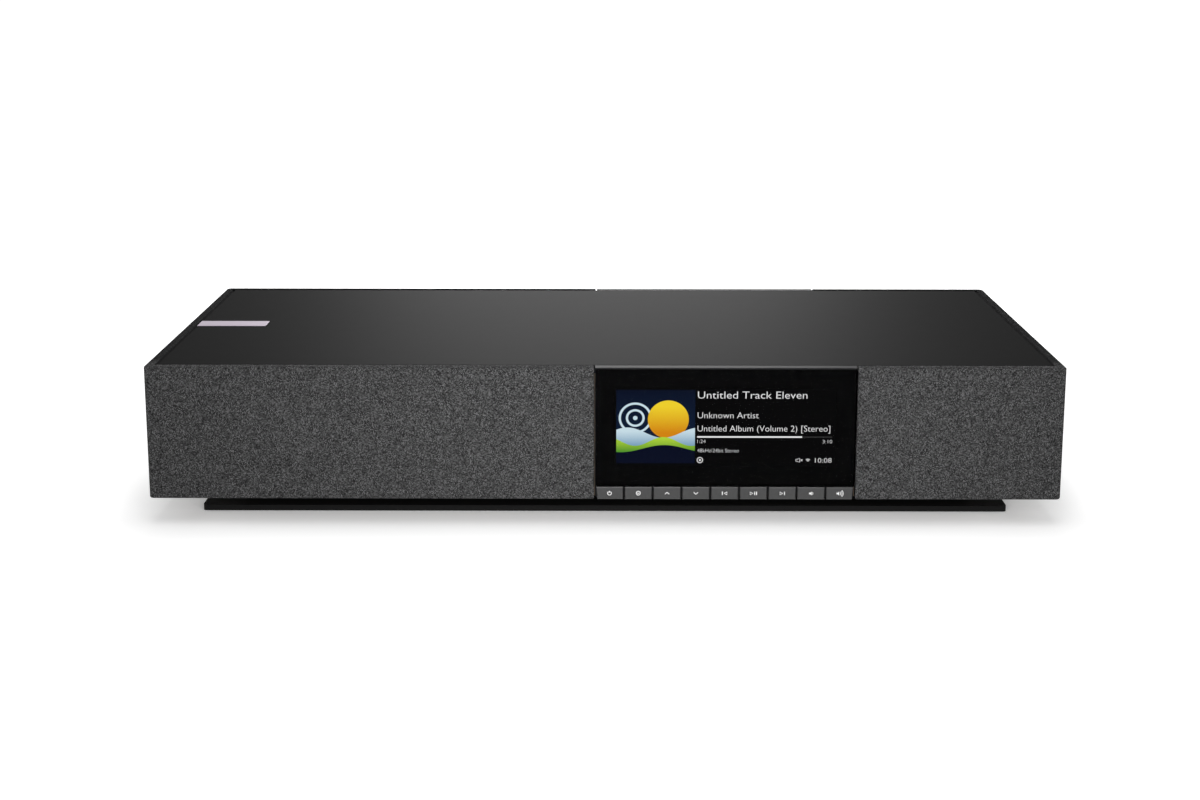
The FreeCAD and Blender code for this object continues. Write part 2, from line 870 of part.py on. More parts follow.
def mains_pins():
    """The inlet's three flat pins, standing on the floor of its cavity."""
    x = module_offset + inlet_place
    base = bay_floor - inlet_depth + inlet_floor
    places = ((-mains_pin_pitch, -mains_pin_rise), (mains_pin_pitch, -mains_pin_rise), (0, mains_pin_rise))
    return Part.makeCompound([centred(x + dx, body_middle + dz, mains_pin_width, mains_pin_height,
                                      (base, base + mains_pin_length)) for dx, dz in places])


def ground_post():
    """The earth terminal's post, with a square base against the plate."""
    x = module_offset + ground_place
    seat = bay_floor + ground_base_thickness
    return joined([
        centred(x, body_middle, ground_base, ground_base, (bay_floor, seat)),
        centred(x, body_middle, ground_tail, ground_tail, (plate_back_face - ground_tail_length, bay_floor)),
        disc(ground_radius, (seat, seat + ground_length), x, body_middle),
    ])


def ground_nut():
    """The knurled thumb nut on the earth post."""
    x = module_offset + ground_place
    y = (bay_floor + ground_base_thickness, bay_floor + ground_base_thickness + nut_length)
    outline = []
    for i in range(2 * nut_teeth):
        turn = math.pi * i / nut_teeth
        radius = nut_radius - (nut_tooth if i % 2 else 0)
        outline.append((x + radius * math.cos(turn), body_middle + radius * math.sin(turn)))
    bore = disc(ground_radius + nut_clearance, (y[0] - over, y[1] + over), x, body_middle)
    return extruded(outline, y).cut(bore)


# Electronics

def main_board():
    """The upright board that the sockets are soldered to, beside the mains inlet."""
    margin = board_margin / 2
    x = (module_offset + inlet_place + inlet_flange_width / 2, module_offset + bay_width / 2 - margin)
    z = (body_middle - bay_height / 2 + margin, body_middle + bay_height / 2 - margin)
    return block(x, (main_board_back - board_thickness, main_board_back), z)


def board_spans():
    """Where the two flat boards lie on their standoffs, as (x, y) spans: amplifier, then power supply."""
    y = (tray_back + board_margin, bay_floor - inlet_depth - board_margin)
    middle = (y[0] + y[1]) / 2
    x = (module_left + board_margin, module_right - board_margin)
    return (x, (y[0], middle - board_margin / 2)), (x, (middle + board_margin / 2, y[1]))


def flat_board(index):
    x, y = board_spans()[index]
    return block(x, y, (board_level, parts_level))


def standoffs():
    """Spacers on the cabinet floor under the corners of the two flat boards."""
    spacers = []
    for xs, ys in board_spans():
        for x in (xs[0], xs[1] - standoff_size):
            for y in (ys[0], ys[1] - standoff_size):
                spacers.append(block((x, x + standoff_size), (y, y + standoff_size), (floor_top, board_level)))
    return Part.makeCompound(spacers)


def heat_sink():
    """A finned block on the amplifier board."""
    xs, ys = board_spans()[0]
    x = ((xs[0] + xs[1] - sink_width) / 2, (xs[0] + xs[1] + sink_width) / 2)
    y = ((ys[0] + ys[1] - sink_depth) / 2, (ys[0] + ys[1] + sink_depth) / 2)
    half = fin_thickness / 2
    fins = [block((fin - half, fin + half), y, (parts_level, parts_level + sink_height))
            for fin in places_between(*x, fin_pitch)]
    return joined([block(x, y, (parts_level, parts_level + sink_base))] + fins)


def transformer():
    """The supply's transformer: a bobbin through a yoke."""
    xs, ys = board_spans()[1]
    x, y = xs[0] + part_gap + yoke_width / 2, (ys[0] + ys[1]) / 2
    yoke = block((x - yoke_width / 2, x + yoke_width / 2), (y - yoke_depth / 2, y + yoke_depth / 2),
                 (parts_level + yoke_foot, parts_level + yoke_foot + yoke_height))
    bobbin = block((x - bobbin_width / 2, x + bobbin_width / 2), (y - bobbin_depth / 2, y + bobbin_depth / 2),
                   (parts_level, parts_level + bobbin_height))
    return joined([yoke, bobbin])


def antennas():
    """Two small aerials, one on each divider near the top."""
    z = (core_top - board_margin - antenna_height, core_top - board_margin)
    y = (main_board_back - 2 * board_margin - antenna_length, main_board_back - 2 * board_margin)
    return Part.makeCompound([block((module_left, module_left + antenna_thickness), y, z),
                              block((module_right - antenna_thickness, module_right), y, z)])


def display_cable():
    """The flat cable from the screen's tray to the upright board, sagging a little between them."""
    start, end = module_back + backplate_thickness, main_board_back - board_thickness
    x = module_offset - cable_width / 2
    points = [Vector(x, start, cable_height), Vector(x, (start + end) / 2, cable_height - cable_sag),
              Vector(x, end, body_middle + bay_height / 2 - board_margin)]
    drop = Vector(0, 0, -cable_thickness)
    upper = Part.Arc(*points).toShape()
    lower = Part.Arc(*[p + drop for p in points]).toShape()
    sides = [Part.makeLine(p, p + drop) for p in (points[0], points[2])]
    outline = Part.Wire(Part.__sortEdges__([upper, lower] + sides))
    return Part.Face(outline).extrude(Vector(cable_width, 0, 0))


button_names = ("power", "source", "up", "down", "previous", "play_pause", "next", "volume_down", "volume_up")


def pieces():
    """Every piece by name."""
    made = {
        "cabinet_floor": cabinet_floor(),
        "baffles": baffles(),
        "rear_boards": rear_boards(),
        "end_boards": end_boards(),
        "dividers": dividers(),
        "top_panel": top_panel(),
        "accent_strip": accent_strip(),
        "display_housing": display_housing(),
        "cover_glass": cover_glass(),
        "lcd_module": lcd_module(),
        "lcd_backplate": lcd_backplate(),
        "key_board": key_board(),
        "key_switches": key_switches(),
        "plinth_plate": plinth_plate(),
        "plinth_riser": plinth_riser(),
        "plinth_screws": plinth_screws(),
        "feet": feet(),
        "woofer_baskets": woofer_baskets(),
        "woofer_magnets": woofer_magnets(),
        "woofer_surrounds": woofer_surrounds(),
        "woofer_cones": woofer_cones(),
        "tweeter_plates": tweeter_plates(),
        "tweeter_magnets": tweeter_magnets(),
        "tweeter_domes": tweeter_domes(),
        "rear_housing": rear_housing(),
        "rear_screws": rear_screws(),
        "connector_plate": connector_plate(),
        "audio_jacks": audio_jacks(),
        "video_socket": tongued_socket(video_place, video_width, video_height, video_tongue),
        "service_socket": tongued_socket(service_place, service_width, service_height, service_tongue),
        "network_socket": network_socket(),
        "optical_socket": optical_socket(),
        "optical_flap": optical_flap(),
        "mains_inlet": mains_inlet(),
        "mains_pins": mains_pins(),
        "ground_post": ground_post(),
        "ground_nut": ground_nut(),
        "main_board": main_board(),
        "amplifier_board": flat_board(0),
        "power_supply_board": flat_board(1),
        "standoffs": standoffs(),
        "heat_sink": heat_sink(),
        "transformer": transformer(),
        "antennas": antennas(),
        "display_cable": display_cable(),
    }
    for side in ("left", "right"):
        made["grille_frame_" + side] = grille_frame(side)
        made["grille_cloth_" + side] = grille_cloth(side)
    for index, name in enumerate(button_names):
        made["button_" + name] = button(index)
    return made


def main():
    os.makedirs("parts", exist_ok=True)
    for name, shape in pieces().items():
        shape.exportStep("parts/" + name + ".step")


main()
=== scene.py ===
"""Looks of a low, wide wireless speaker: cloth-wrapped ends, satin lid, lit screen and a row of keys.

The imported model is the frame. Every new piece is worked out from the frame's boxes, in metres, +X to the
listener's right, +Y from the front to the back, +Z up.
"""

import math
from functools import partial, reduce

import bmesh
import bpy
import numpy as np
from bpy.props import FloatProperty, FloatVectorProperty, PointerProperty, StringProperty
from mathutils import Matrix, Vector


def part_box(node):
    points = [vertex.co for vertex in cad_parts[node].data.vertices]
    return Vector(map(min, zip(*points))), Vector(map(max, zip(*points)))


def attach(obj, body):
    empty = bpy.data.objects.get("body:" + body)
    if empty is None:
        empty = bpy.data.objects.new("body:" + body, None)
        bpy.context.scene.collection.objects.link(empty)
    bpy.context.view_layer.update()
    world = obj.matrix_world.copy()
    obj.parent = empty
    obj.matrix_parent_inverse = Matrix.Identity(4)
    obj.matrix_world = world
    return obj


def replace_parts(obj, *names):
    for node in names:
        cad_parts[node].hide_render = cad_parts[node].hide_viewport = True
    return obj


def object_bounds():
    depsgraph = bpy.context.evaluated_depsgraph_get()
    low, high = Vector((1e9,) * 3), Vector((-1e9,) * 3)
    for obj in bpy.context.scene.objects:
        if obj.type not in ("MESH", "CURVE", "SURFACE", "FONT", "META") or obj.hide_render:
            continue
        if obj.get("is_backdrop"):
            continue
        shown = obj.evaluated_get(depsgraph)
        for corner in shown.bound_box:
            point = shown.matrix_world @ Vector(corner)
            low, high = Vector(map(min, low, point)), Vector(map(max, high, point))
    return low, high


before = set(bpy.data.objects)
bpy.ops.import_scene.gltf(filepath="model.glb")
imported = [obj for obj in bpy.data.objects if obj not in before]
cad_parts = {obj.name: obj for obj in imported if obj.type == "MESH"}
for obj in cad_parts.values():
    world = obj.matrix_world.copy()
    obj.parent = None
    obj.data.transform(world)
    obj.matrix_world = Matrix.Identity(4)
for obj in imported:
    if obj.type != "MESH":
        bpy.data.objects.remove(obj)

bl_info = {
    "name": "Wireless speaker looks",
    "version": (1, 0, 0),
    "blender": (4, 5, 0),
    "location": "3D View > Sidebar > Speaker",
    "description": "Dresses the speaker's frame with cloth, a lit screen, key legends, sockets and a studio",
    "category": "Object",
}

mm = 0.001
key_names = ("power", "source", "up", "down", "previous", "play_pause", "next", "volume_down", "volume_up")

# Places read from the frame
cloth_left_low, cloth_left_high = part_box("grille_cloth_left")
cloth_right_low, cloth_right_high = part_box("grille_cloth_right")
lid_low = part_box("top_panel")[0]
glass_low, glass_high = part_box("cover_glass")
screen_low, screen_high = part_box("lcd_module")
cabinet_front, cabinet_back = cloth_left_low.y, cloth_left_high.y
cabinet_bottom, cabinet_top = cloth_left_low.z, cloth_left_high.z


# Mesh building

def placed(name, data):
    """A new object in the scene."""
    made = bpy.data.objects.new(name, data)
    bpy.context.scene.collection.objects.link(made)
    return made


def new_piece(name, parts, material, slot, body="cabinet", uv=None, smooth=False):
    """A mesh object from (points, faces) parts, riding on a body with one material."""
    points, faces = [], []
    for part_points, part_faces in parts:
        first = len(points)
        points += np.asarray(part_points, dtype=float).reshape(-1, 3).tolist()
        faces += [[first + v for v in face] for face in part_faces]
    mesh = bpy.data.meshes.new(name)
    mesh.from_pydata(points, [], faces)
    if uv is not None:
        layer = mesh.uv_layers.new(name="UVMap")
        corners = np.zeros(len(mesh.loops), dtype=np.int32)
        mesh.loops.foreach_get("vertex_index", corners)
        layer.data.foreach_set("uv", np.asarray(uv, dtype=np.float32).reshape(-1, 2)[corners].ravel())
    mesh.polygons.foreach_set("use_smooth", np.full(len(mesh.polygons), smooth))
    mesh.materials.append(material)
    mesh.update()
    piece = placed(name, mesh)
    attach(piece, body)
    return piece


def vertex_places(mesh):
    """A mesh's vertices as rows of (x, y, z)."""
    flat = np.zeros(len(mesh.vertices) * 3, dtype=np.float32)
    mesh.vertices.foreach_get("co", flat)
    return flat.reshape(-1, 3)


def grid_faces(rows, columns, close_rows=False, close_columns=False):
    """The quads of a grid of points, one row after another, joined round where a side is closed."""
    down = np.arange(rows if close_rows else rows - 1)
    along = np.arange(columns if close_columns else columns - 1)
    i, j = np.meshgrid(down, along, indexing="ij")
    row, below, beside = i * columns, (i + 1) % rows * columns, (j + 1) % columns
    quads = np.stack([row + j, row + beside, below + beside, below + j], -1)
    return quads.reshape(-1, 4).tolist()


def rectangle(left, right, bottom, top):
    """The corners of an upright rectangle as (x, z) points."""
    return [(left, bottom), (right, bottom), (right, top), (left, top)]


def arc(centre, radius, start, end, count=24):
    """Points on a circle between two angles in degrees, measured from +X towards +Z."""
    t = np.radians(np.linspace(start, end, count))
    return np.stack([centre[0] + radius * np.cos(t), centre[1] + radius * np.sin(t)], -1)


def turned_ring(centre, inner, outer, low, high, sides=40):
    """A flat ring about a line along +Y. Each corner of its section, at a radius r and a height h along the
    line, is turned to centre + (r sin t, h, r cos t)."""
    t = np.arange(sides) * 2 * math.pi / sides
    rows = [np.stack([radius * np.sin(t), np.full(sides, height), radius * np.cos(t)], -1)
            for radius, height in ((inner, low), (outer, low), (outer, high), (inner, high))]
    return np.asarray(centre) + np.stack(rows), grid_faces(4, sides, close_rows=True, close_columns=True)


def flat_plate(outline, front, back):
    """A convex outline of (x, z) points as a plate between two depths: both faces and the wall round them."""
    outline = np.asarray(outline, dtype=float)
    count = len(outline)
    points = np.concatenate([np.insert(outline, 1, depth, axis=1) for depth in (front, back)])
    ring = np.arange(count)
    wall = np.stack([ring, ring + count, (ring + 1) % count + count, (ring + 1) % count], -1).tolist()
    faces = [ring.tolist(), (ring + count)[::-1].tolist()] + wall
    x, z = outline.T
    turns_left = np.sum(x * np.roll(z, -1) - z * np.roll(x, -1)) > 0
    return points, faces if turns_left else [face[::-1] for face in faces]


def ribbon(path, width, front, back, closed=False):
    """A stroke: the path of (x, z) points widened by half its width to each side along its normal, as a plate
    between two depths. At each point the normal is that of the chord between its neighbours."""
    path = np.asarray(path, dtype=float)
    before = np.roll(path, 1, axis=0) if closed else np.concatenate([path[:1], path[:-1]])
    after = np.roll(path, -1, axis=0) if closed else np.concatenate([path[1:], path[-1:]])
    along = after - before
    along /= np.linalg.norm(along, axis=1)[:, None]
    offset = np.stack([-along[:, 1], along[:, 0]], -1) * width / 2
    points = np.stack([np.insert(path + side * offset, 1, depth, axis=1)
                       for side, depth in ((1, front), (-1, front), (-1, back), (1, back))], 1)
    faces = grid_faces(len(path), 4, close_rows=closed, close_columns=True)
    if not closed:
        last = 4 * len(path) - 4
        faces += [[3, 2, 1, 0], [last, last + 1, last + 2, last + 3]]
    return points, faces


class Sign:
    """Draws strokes and plates round a middle, in millimetres, between two depths."""

    def __init__(self, middle, layer, width):
        self.middle = np.array(middle)
        self.layer = layer
        self.width = width

    def places(self, spots):
        """Spots round the middle as (x, z) points."""
        return self.middle + np.array(spots) * mm

    def stroke(self, *spots, closed=False):
        """A stroke through the spots."""
        return ribbon(self.places(spots), self.width * mm, *self.layer, closed)

    def shape(self, *spots):
        """A plate with its corners at the spots."""
        return flat_plate(self.places(spots), *self.layer)

    def curve(self, centre, radius, start, end, closed=False, **steps):
        """A stroke along an arc."""
        path = arc(self.places(centre), radius * mm, start, end, **steps)
        return ribbon(path, self.width * mm, *self.layer, closed)


# Material building

class NodeTree:
    """A tree of shader nodes and short ways to add to it."""

    def __init__(self, tree):
        self.tree = tree

    def join(self, socket, value):
        """Feeds a socket from a node's output, or sets it to a number, a vector or a colour."""
        if isinstance(value, bpy.types.NodeSocket):
            self.tree.links.new(value, socket)
        elif socket.type == "RGBA":
            socket.default_value = (*value, 1.0)
        else:
            socket.default_value = value

    def node(self, kind, **inputs):
        """A shader node with some of its inputs joined by name."""
        made = self.tree.nodes.new("ShaderNode" + kind)
        for name, value in inputs.items():
            self.join(made.inputs[name.replace("_", " ")], value)
        return made

    def math(self, operation, *values):
        """One arithmetic node's output."""
        made = self.node("Math")
        made.operation = operation
        for socket, value in zip(made.inputs, values):
            self.join(socket, value)
        return made.outputs[0]

    def plus(self, *values):
        """The sum of the values."""
        return reduce(partial(self.math, "ADD"), values)

    def times(self, *values):
        """The product of the values."""
        return reduce(partial(self.math, "MULTIPLY"), values)

    def distance(self, dx, dy):
        """The root of dx squared plus dy squared."""
        return self.math("SQRT", self.plus(self.times(dx, dx), self.times(dy, dy)))

    def ramp(self, value, start, end, low=0.0, high=1.0, kind="LINEAR"):
        """Goes from low to high as a value goes from start to end, and no further."""
        made = self.node("MapRange", Value=value, From_Min=start, From_Max=end, To_Min=low, To_Max=high)
        made.interpolation_type = kind
        return made.outputs["Result"]

    def blend(self, share, low, high):
        """A colour between two, by a share from 0 to 1. The mix node's colours are its inputs 6 and 7."""
        made = self.node("Mix")
        made.data_type = "RGBA"
        for place, value in ((0, share), (6, low), (7, high)):
            self.join(made.inputs[place], value)
        return made.outputs[2]

    def split(self, place):
        """A place's X, Y and Z."""
        return self.node("SeparateXYZ", Vector=place).outputs

    def object_place(self, stretch=(1, 1, 1)):
        """Object coordinates, stretched per axis."""
        place = self.node("TexCoord").outputs["Object"]
        return self.node("Mapping", Vector=place, Scale=stretch).outputs["Vector"]

    def noise(self, size, detail=3.0, stretch=(1, 1, 1)):
        """Noise whose features are about the given size in metres."""
        made = self.node("TexNoise", Vector=self.object_place(stretch), Scale=1 / size, Detail=detail)
        return made.outputs["Fac"]

    def seen_directly(self):
        """1 for camera, glossy and transmission rays, 0 for the rays that light the object."""
        rays = self.node("LightPath").outputs
        kinds = ("Is Camera Ray", "Is Glossy Ray", "Is Transmission Ray")
        return reduce(partial(self.math, "MAXIMUM"), [rays[kind] for kind in kinds])


class Finish(NodeTree):
    """A material under construction, with its surface shader."""

    def __init__(self, name, colour, roughness, metallic=0.0, level=0.5):
        self.material = bpy.data.materials.new(name)
        self.material.use_nodes = True
        self.material.diffuse_color = (*colour, 1.0)
        super().__init__(self.material.node_tree)
        self.shader = self.tree.nodes["Principled BSDF"]
        self.feed("Base Color", colour)
        self.feed("Roughness", roughness)
        self.feed("Metallic", metallic)
        self.feed("Specular IOR Level", level)

    def feed(self, name, value):
        """Joins one of the shader's inputs."""
        self.join(self.shader.inputs[name], value)

    def bump(self, height, distance):
        """Raises the surface by a share of a distance."""
        made = self.node("Bump", Height=height, Distance=distance, Strength=1.0)
        self.feed("Normal", made.outputs["Normal"])

    def vary(self, share, amount):
        """Lets the base colour vary about its value by an amount, following a share."""
        colour = tuple(self.shader.inputs["Base Color"].default_value)[:3]
        low, high = (tuple(c * factor for c in colour) for factor in (1 - amount, 1 + amount))
        self.feed("Base Color", self.blend(share, low, high))


def grey(value):
    """A neutral colour."""
    return (value, value, value)


def moulded(name, colour, roughness, grain=0.35 * mm, depth=0.01 * mm, level=0.5, edge=None):
    """Moulded plastic or satin paint: a fine pebbled skin with a faint change of shade. An edge colour shows
    where the surface tilts off the level."""
    made = Finish(name, colour, roughness, level=level)
    made.vary(made.noise(12 * mm), 0.08)
    if edge is not None:
        upright = made.split(made.node("NewGeometry").outputs["True Normal"])["Z"]
        tilted = made.ramp(upright, 0.95, 0.8)
        even = made.shader.inputs["Base Color"].links[0].from_socket
        made.feed("Base Color", made.blend(tilted, even, edge))
    made.bump(made.noise(grain, detail=2.0), depth)
    return made.material


def brushed(name, colour, roughness, stretch, depth=0.004 * mm):
    """Brushed metal: noise drawn out along one axis, in the shade, the gloss and the relief."""
    made = Finish(name, colour, roughness, metallic=1.0)
    lines = made.noise(0.35 * mm, detail=4.0, stretch=stretch)
    made.vary(lines, 0.12)
    made.feed("Roughness", made.math("MULTIPLY_ADD", lines, 0.16, roughness - 0.08))
    made.bump(lines, depth)
    return made.material


def plated(name, colour, roughness):
    """Bright plated metal with a trace of handling haze."""
    made = Finish(name, colour, roughness, metallic=1.0)
    haze = made.noise(4 * mm)
    made.feed("Roughness", made.math("MULTIPLY_ADD", haze, 0.1, roughness - 0.05))
    made.vary(haze, 0.05)
    return made.material


def fibreboard(name, colour):
    """Pressed fibre board: short pale fibres over a brown ground."""
    made = Finish(name, colour, 0.85)
    fibres = made.noise(0.9 * mm, detail=6.0, stretch=(1.0, 1.0, 3.0))
    made.vary(fibres, 0.35)
    made.bump(fibres, 0.05 * mm)
    return made.material


def circuit_green(name, colour):
    """Solder mask over copper, with paler tracks where a cell pattern's edges run."""
    made = Finish(name, colour, 0.35)
    cells = made.node("TexVoronoi", Vector=made.object_place(), Scale=1 / (6 * mm))
    cells.feature = "DISTANCE_TO_EDGE"
    track = made.math("LESS_THAN", cells.outputs["Distance"], 0.06)
    pale = tuple(1.6 * c + 0.01 for c in colour)
    made.feed("Base Color", made.blend(track, colour, pale))
    made.bump(track, 0.03 * mm)
    return made.material


def woven_cloth(name, settings):
    """Heather cloth in a plain weave. The piece's own map is in metres along and across the cloth. Each
    crossing of two threads is a cell. Where column plus row is even the upright thread lies on top, elsewhere
    the level one. A thread's height over its cell is the product of two half sine waves. Its shade mixes a
    random value of the crossing, one of the thread's run and a slow mottle, and darkens towards the cell's
    edges: the dark gaps between threads, and painted shade where the threads curve down. Along the ends and
    the back, the margin on top of the cabinet is darker than the wall, from the turned edge inwards: painted
    shade on the top face, which the front margin doesn't get."""
    made = Finish(name, settings.shade, 0.95, level=0.01)

    def random_value(**cell):
        """A random value of the cell at X, Y and Z."""
        place = made.node("CombineXYZ", **cell).outputs["Vector"]
        return made.node("TexWhiteNoise", Vector=place).outputs["Value"]

    place = made.split(made.node("UVMap").outputs["UV"])
    pitch = settings.thread * mm
    across, up = (made.math("DIVIDE", place[axis], pitch) for axis in "XY")
    column, row = (made.math("FLOOR", value) for value in (across, up))
    level_run, upright_run = (made.math("FLOOR", made.math("DIVIDE", value, settings.fleck))
                              for value in (across, up))
    speck = random_value(X=column, Y=row)
    level_shade = random_value(X=level_run, Y=row, Z=1.0)
    upright_shade = random_value(X=column, Y=upright_run, Z=2.0)
    level_on_top = made.math("MODULO", made.plus(column, row), 2.0)
    upright_on_top = made.math("SUBTRACT", 1.0, level_on_top)
    thread = made.plus(made.times(level_shade, level_on_top), made.times(upright_shade, upright_on_top))
    mottle = made.noise(4 * mm, detail=2.0)
    even = made.plus(made.times(thread, 0.45), made.times(speck, 0.45), made.times(mottle, 0.1))
    swell = made.times(*(made.math("ABSOLUTE", made.math("SINE", made.times(value, math.pi)))
                         for value in (across, up)))
    # Darker towards each cell's edges: the dark gaps between the threads, and painted shade where the threads
    # curve down.
    sunk = made.math("MULTIPLY_ADD", swell, 0.45, 0.55)
    depth = made.split(made.object_place())["Y"]
    front_reach = 15 * mm
    # Painted shade on the cloth's top margin: none at the front, the margin share along the ends and the
    # back.
    painted_end_shade = made.ramp(depth, lid_low.y - settings.front_gap, lid_low.y + front_reach,
                           1.0, settings.margin_painted_shade)
    margin = lid_low.x - cloth_left_low.x - settings.gap - settings.turn
    painted_top_shade = made.ramp(place["Y"], margin, margin + settings.turn, painted_end_shade, 1.0)
    shade = made.times(even, even, sunk, painted_top_shade)
    made.feed("Base Color", made.blend(shade, settings.dark_thread, settings.pale_thread))
    made.bump(made.plus(swell, made.times(speck, 0.4)), 0.18 * mm)
    return made.material


def glowing(name, strength):
    """A black finish without gloss, ready to give light."""
    made = Finish(name, grey(0.0), 0.5, level=0.0)
    made.feed("Emission Strength", strength)
    return made


def lit(name, colour, strength):
    """A part of the screen's page that gives light."""
    made = glowing(name, strength)
    flicker = made.math("MULTIPLY_ADD", made.noise(0.2 * mm), 0.04, 0.96)
    made.feed("Emission Color", made.blend(flicker, grey(0.0), colour))
    return made.material


def picture(name, strength):
    """The page's picture, made up on the piece's own map from 0 to 1 each way: a navy sky, a disc that turns
    from yellow to amber downwards, three pale rings, and three wave-edged hills in front of them, pale, lime
    and navy. The pale and the lime hill darken downwards. A hill's edge is at level + height * sin(2 pi turns
    u + phase)."""
    made = glowing(name, strength)
    place = made.split(made.node("UVMap").outputs["UV"])
    u, v = place["X"], place["Y"]

    def distance(x, y):
        """The distance from a point of the map."""
        return made.distance(made.math("SUBTRACT", u, x), made.math("SUBTRACT", v, y))

    def rising(low, high, bottom, top):
        """A colour that goes from low to high between two heights."""
        return made.blend(made.ramp(v, bottom, top), low, high)

    def below(level, height, turns, phase):
        """1 below a wavy edge, 0 above it."""
        wave = made.math("SINE", made.math("MULTIPLY_ADD", u, turns * 2 * math.pi, phase))
        return made.math("LESS_THAN", v, made.math("MULTIPLY_ADD", wave, height, level))

    navy, pale = (0.004, 0.006, 0.018), (0.62, 0.78, 0.86)
    disc = rising((0.7, 0.25, 0.008), (0.93, 0.68, 0.03), 0.42, 0.78)
    pale_hill = rising((0.16, 0.33, 0.5), pale, 0.22, 0.44)
    lime_hill = rising((0.09, 0.3, 0.03), (0.45, 0.7, 0.05), 0.16, 0.34)
    from_rings = distance(0.24, 0.62)
    ring_radius, rings_per_unit, ring_share = 0.27, 11.0, 0.32
    rings = made.math("LESS_THAN", made.math("FRACT", made.times(from_rings, rings_per_unit)), ring_share)
    near = made.math("LESS_THAN", from_rings, ring_radius)
    on_disc = made.math("LESS_THAN", distance(0.66, 0.6), 0.26)
    shade = made.blend(made.times(v, 0.9), (0.008, 0.02, 0.05), navy)
    for share, colour in ((made.times(rings, near), pale), (on_disc, disc),
                          (below(0.42, 0.07, 1.1, 0.6), pale_hill), (below(0.3, 0.06, 1.4, 2.6), lime_hill),
                          (below(0.2, 0.05, 0.9, 4.4), navy)):
        shade = made.blend(share, shade, colour)
    made.feed("Emission Color", shade)
    return made.material


def screen_glass(name, colour):
    """Dark coated glass: light passes, and the coating leaves only a weak reflection."""
    made = Finish(name, colour, 0.0)
    made.feed("Transmission Weight", 1.0)
    made.feed("IOR", 1.04)
    made.vary(made.noise(25 * mm, detail=4.0), 0.02)
    return made.material


def dress(material, *nodes):
    """Gives frame nodes one material in place of their plain one."""
    for node in nodes:
        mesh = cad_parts[node].data
        mesh.materials.clear()
        mesh.materials.append(material)


# Settings shown in the sidebar

def number(name, description, default, **kind):
    """A number, with its unit or limits."""
    return FloatProperty(name=name, description=description, default=default, **kind)


def tint(name, description, default):
    """A colour, its default given as red, green and blue from 0 to 1."""
    return FloatVectorProperty(name=name, description=description, default=default, subtype="COLOR",
                               min=0, max=1)


class SpeakerClothSettings(bpy.types.PropertyGroup):
    """The cloth's weave and how it wraps."""
    thread: number("Thread pitch", "Distance between threads, in millimetres", 0.72)
    fleck: number("Fleck length", "How many crossings one shade of thread runs", 2.0)
    turn: number("Edge turn", "Radius at which the cloth turns over its edges", 1.0 * mm, unit="LENGTH")
    corner: number("Corner", "Radius of the cabinet's upright corners", 4.0 * mm, unit="LENGTH")
    thickness: number("Thickness", "Thickness of the cloth", 0.7 * mm, unit="LENGTH")
    gap: number("Gap", "Dark line between the cloth's margin and the lid's ends", 1.8 * mm, unit="LENGTH")
    front_gap: number("Front gap", "The same line at the lid's front and back", 0.7 * mm, unit="LENGTH")
    # Share of the wall's shade that the painted shade leaves on the top margin along the ends and the back.
    margin_painted_shade: number("Margin shade", "Shade of the margin on top, as a share of the wall's", 0.2,
                         min=0, max=1, subtype="FACTOR")
    shade: tint("Mean shade", "The cloth seen from afar", (0.07, 0.07, 0.071))
    dark_thread: tint("Dark thread", "Shade of the darkest thread", (0.012, 0.012, 0.0124))
    pale_thread: tint("Pale thread", "Shade of the palest thread", (0.33, 0.33, 0.333))


class SpeakerScreenSettings(bpy.types.PropertyGroup):
    """What the screen shows."""
    glow: number("Glow", "Strength of the lit page", 0.95, min=0)
    title: StringProperty(name="Title", description="First line of the page", default="Untitled Track Eleven")
    artist: StringProperty(name="Artist", description="Second line of the page", default="Unknown Artist")
    album: StringProperty(name="Album", description="Third line of the page",
                          default="Untitled Album (Volume 2) [Stereo]")
    played: number("Played", "Share of the track that has been played", 0.777, min=0, max=1, subtype="FACTOR")


class SpeakerFinishSettings(bpy.types.PropertyGroup):
    """The colours of the cabinet's parts."""
    lid: tint("Lid", "Colour of the satin lid", grey(0.0095))
    keys: tint("Keys", "Colour of the keys", (0.0357, 0.0357, 0.0364))
    moulding: tint("Mouldings", "Colour of the black mouldings", (0.02, 0.02, 0.021))
    strip: tint("Strip", "Colour of the metal strip", (0.355, 0.295, 0.365))


class SpeakerStageSettings(bpy.types.PropertyGroup):
    """The camera and the lights."""
    camera: FloatVectorProperty(name="Camera", description="Where the camera stands", unit="LENGTH",
                                default=(-1.1 * mm, -1367.2 * mm, 434.6 * mm))
    pitch: number("Pitch", "How far the camera looks down", math.radians(10.542), subtype="ANGLE")
    yaw: number("Yaw", "How far the camera looks to the left", math.radians(0.123), subtype="ANGLE")
    roll: number("Roll", "How far the picture is turned", math.radians(0.063), subtype="ANGLE")
    lens: number("Lens", "Focal length in millimetres on a 36 mm wide picture", 51.0)
    shift: number("Shift", "How far the picture is shifted, as a share of its width", -0.12)
    overhead: number("Overhead lamp", "Power of the lamp above", 15.4, unit="POWER")
    fill: number("Front lamp", "Power of the lamp in front", 2.8, unit="POWER")
    rear: number("Rear lamp", "Power of the lamp that glosses the lid", 22.5, unit="POWER")
    side: number("Side lamps", "Power of each lamp at the sides", 8.0, unit="POWER")
    ambient: number("Ambient", "Strength of the light from all round", 0.09)


# Cloth

def wrap_profile(turn, end_rim, front_rim, steps=5):
    """The cloth's section as (inset at the ends, inset at the front and back, height) points: from the rim's
    inner edge outwards, over the top edge by a quarter circle, down the wall, round the bottom edge by
    another, and in again underneath."""
    t = np.linspace(0, math.pi / 2, steps)
    turned = np.concatenate([turn - turn * np.sin(t), turn - turn * np.cos(t)])
    height = np.concatenate([[cabinet_top], cabinet_top - turn + turn * np.cos(t),
                             cabinet_bottom + turn - turn * np.sin(t), [cabinet_bottom]])
    return np.stack([np.concatenate([[rim], turned, [rim]]) for rim in (end_rim, front_rim)] + [height], -1)


